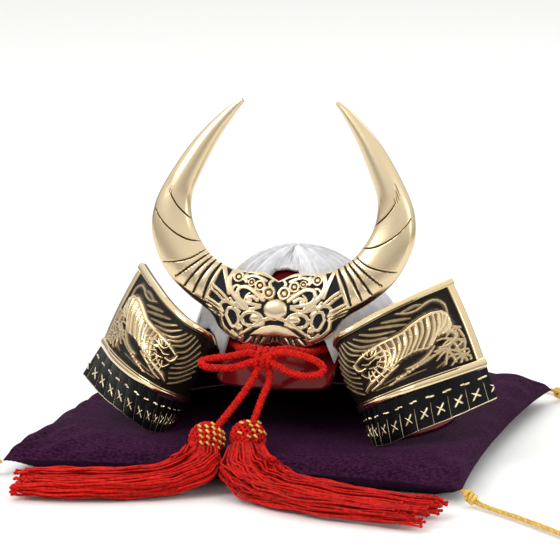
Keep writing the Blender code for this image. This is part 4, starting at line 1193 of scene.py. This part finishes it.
def wrinkles(x, y):
    """Creases that run in from the corners and along the sides, in metres."""
    half = CUSHION_SIDE / 2
    total = np.zeros(x.shape)
    for sx in (-1, 1):
        for sy in (-1, 1):
            dx, dy = half - x * sx, half - y * sy
            reach = np.hypot(dx, dy)
            turn = np.arctan2(dy, dx)
            fade = np.exp(-((reach / (52 * MM)) ** 2)) * ease(reach / (9 * MM))
            total += fade * (1.1 * MM * np.sin(turn * 15 + 2.3 * np.sin(reach / (11 * MM)) + sx + 2 * sy))
    for axis, (a, b) in enumerate(((x, y), (y, x))):
        side = half - np.abs(b)
        fade = np.exp(-((side / (20 * MM)) ** 2)) * ease(side / (3 * MM))
        total += fade * 0.85 * MM * np.sin(a / (5.2 * MM) + 1.7 * np.sin(a / (17 * MM) + axis) + np.sign(b))
    total += 0.22 * MM * np.sin(x / (7 * MM) + 2 * np.sin(y / (13 * MM)))
    return total


def make_cushion(look):
    """The purple cushion: bowed top, drawn-in sides, a seam all round and a flat underside."""
    half = CUSHION_SIDE / 2
    count = 200
    side = np.linspace(-1, 1, count)
    side = np.sign(side) * np.abs(side) ** 0.7
    v, u = np.meshgrid(side, side, indexing="ij")
    x = u * (half - EDGE_PULL * (1 - v * v) * u * u)
    y = v * (half - EDGE_PULL * (1 - u * u) * v * v)
    away = np.hypot((x - HELMET[0]) / SMOOTH_HALF_WIDTH, (y - HELMET[1] - BOWL_Y) / SMOOTH_HALF_LENGTH)
    crease = wrinkles(x, y) * ease((away - 0.95) / 0.25)
    edge = np.minimum(1 - np.abs(u), 1 - np.abs(v))
    z = cushion_surface(x, y, np.abs(u), np.abs(v)) + crease * ease(edge / 0.03)
    rim = 0.07
    inset = 1 - UNDERSIDE_INSET / half * ease(edge / rim) * (edge < 0.3)
    low = np.stack([x * inset, y * inset, z * np.clip(1 - edge / rim, 0, 1) ** 1.6], -1)
    low[..., 2] = np.where(edge < 1e-6, z, low[..., 2])
    keep = np.unique(np.concatenate([np.arange(16), rows_kept(count, 10), np.arange(count - 16, count)]))
    points, faces = closed_sheet(np.stack([x, y, z], -1), low, keep)
    made = piece("cushion_cover", points, faces, look, {"shade": np.full(len(points), 0.5)})
    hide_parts("cushion")


def corner_cord_runs(line):
    """Two plies of three strands twisted together, with a knot near the corner."""
    side, up = frames(line)
    lengths = np.linspace(0, length_of(line), len(line))
    runs = []
    for k in range(6):
        ply = side * (TUFT * 0.25 * (1 if k < 3 else -1))
        turn = 2 * np.pi * lengths / TWIST_PITCH + 2 * np.pi * k / 3
        runs.append((around(line + ply, side, up, TUFT * 0.12, turn), TUFT * 0.125, 5))
    turn = np.linspace(0, 2 * np.pi, 20)
    for k in range(3):
        at = round((4.9 + 2.1 * k) * MM / TWIST_STEP)
        tilt = (line[at + 1] - line[at]) * (1.2 * np.sin(turn + k))[:, None]
        runs.append((line[at] + tilt + circle(turn, side[at], up[at]) * TUFT * 0.5, TUFT * 0.3, 7))
    return runs


def make_corner_cords(look):
    """Yellow cord at each corner, lying out from the cushion's tip."""
    corner = CUSHION_SIDE / 2 / MM
    for label, sx, sy in (
        ("front_left", -1, -1), ("front_right", 1, -1), ("back_left", -1, 1), ("back_right", 1, 1)
    ):
        source = TUFT_ROUTE if sy < 0 else TUFT_ROUTE_BACK
        points = [(sx * (corner + a), sy * (corner + b), c) for a, b, c in source]
        line = resample(rows_at(np.array(points), np.linspace(0, 1, 300)) * MM, TWIST_STEP)
        made = tubes_mesh("corner_tuft_" + label, corner_cord_runs(line), look)
        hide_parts("corner_cord_" + label)


def make_visor(look):
    """The curved peak below the crest, its outer corners a little raised."""
    u, v = np.meshgrid(np.linspace(0, 1, 90), np.linspace(0, 1, 24))
    side = 1 - 2 * u
    x = side * mix(VISOR_HALF_WIDTH + GAP, VISOR_HALF_WIDTH, v)
    rim_y = BOWL_Y - BOWL_HALF_LENGTH * np.sqrt(1 - (x / BOWL_HALF_WIDTH) ** 2)
    low_y = BOWL_Y - BOWL_HALF_LENGTH - VISOR_REACH + VISOR_REACH / 2 * side * side
    rise = VISOR_DROP * 0.45 * np.maximum(0.0, np.abs(side) - 0.8) ** 2 / 0.04 * v
    z = RIM_Z - 2 * GAP - VISOR_DROP * v + rise * 0.5
    front = np.stack([x, mix(rim_y, low_y, v**0.9), z], -1)
    out = unit(np.cross(np.gradient(front, axis=0), np.gradient(front, axis=1)))
    points, faces = closed_sheet(front + HELMET, front - out * VISOR_WALL + HELMET, np.arange(len(front)))
    made = piece("peak", points, faces, look)
    made.data.set_sharp_from_angle(angle=math.radians(45))
    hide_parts("visor")


def cover(node, look):
    """Gives a solid that keeps its shape its finished surface."""
    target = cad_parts[node]
    target.data.materials.clear()
    target.data.materials.append(look)


make_camera()
# The red's dark end also serves as the painted shade in the braid's core and under its crossings.
red = fibre("red_braid", (0.075, 0.0002, 0.0002), (0.80, 0.012, 0.006), 0.6, 0.02)
yellow = fibre("yellow_twist", (0.42, 0.22, 0.03), (0.84, 0.58, 0.15), 0.6, 0.1)
make_red_cords(red, yellow)
make_corner_cords(yellow)
studio()
gold = cast_metal("polished_gold_cast", (
    (0.12, (0.012, 0.013, 0.018)), (0.38, (0.10, 0.075, 0.045)), (0.62, (0.58, 0.44, 0.24)),
    (0.9, (0.74, 0.595, 0.385)),
), 0.25, 0.6)
old_gold = cast_metal("patina_gold_cast", (
    (0.12, (0.010, 0.007, 0.005)), (0.34, (0.075, 0.052, 0.030)), (0.62, (0.46, 0.34, 0.19)),
    (0.92, (0.82, 0.65, 0.39)),
), 0.12, 0.5)
black_gold = cast_metal("black_tier_metal", (
    (0.3, (0.003, 0.003, 0.004)), (0.5, (0.25, 0.19, 0.10)), (0.7, (0.86, 0.72, 0.46)),
), 0.22, 0.3)
bright_red = lacquer("red_lacquer", 0.14, 0.14)
guard_red = lacquer("guard_lacquer", 0.3, 0.03)
# A greyer copy of the white hair, painted shade for the hair beneath the strands.
shaded_white_hair = fibre("white_hair_base_painted_shade", (0.50, 0.50, 0.53), (0.80, 0.80, 0.82), 0.6, 0.2, 300)
white_strand = fibre("white_hair_strand", (0.72, 0.72, 0.75), (0.93, 0.93, 0.95), 0.45, 0.2, 300)
make_crest(gold)
for side, label in ((-1, "left"), (1, "right")):
    make_wing(side, label, old_gold)
    make_band(side, label, black_gold)
make_knot(red)
make_hair_base(shaded_white_hair)
make_hair_strands(white_strand)
make_cushion(crepe())
make_visor(bright_red)
for node in ("bowl", "crest_post", "lame_top", "lame_middle", "lame_bottom"):
    cover(node, bright_red if node == "crest_post" else guard_red)
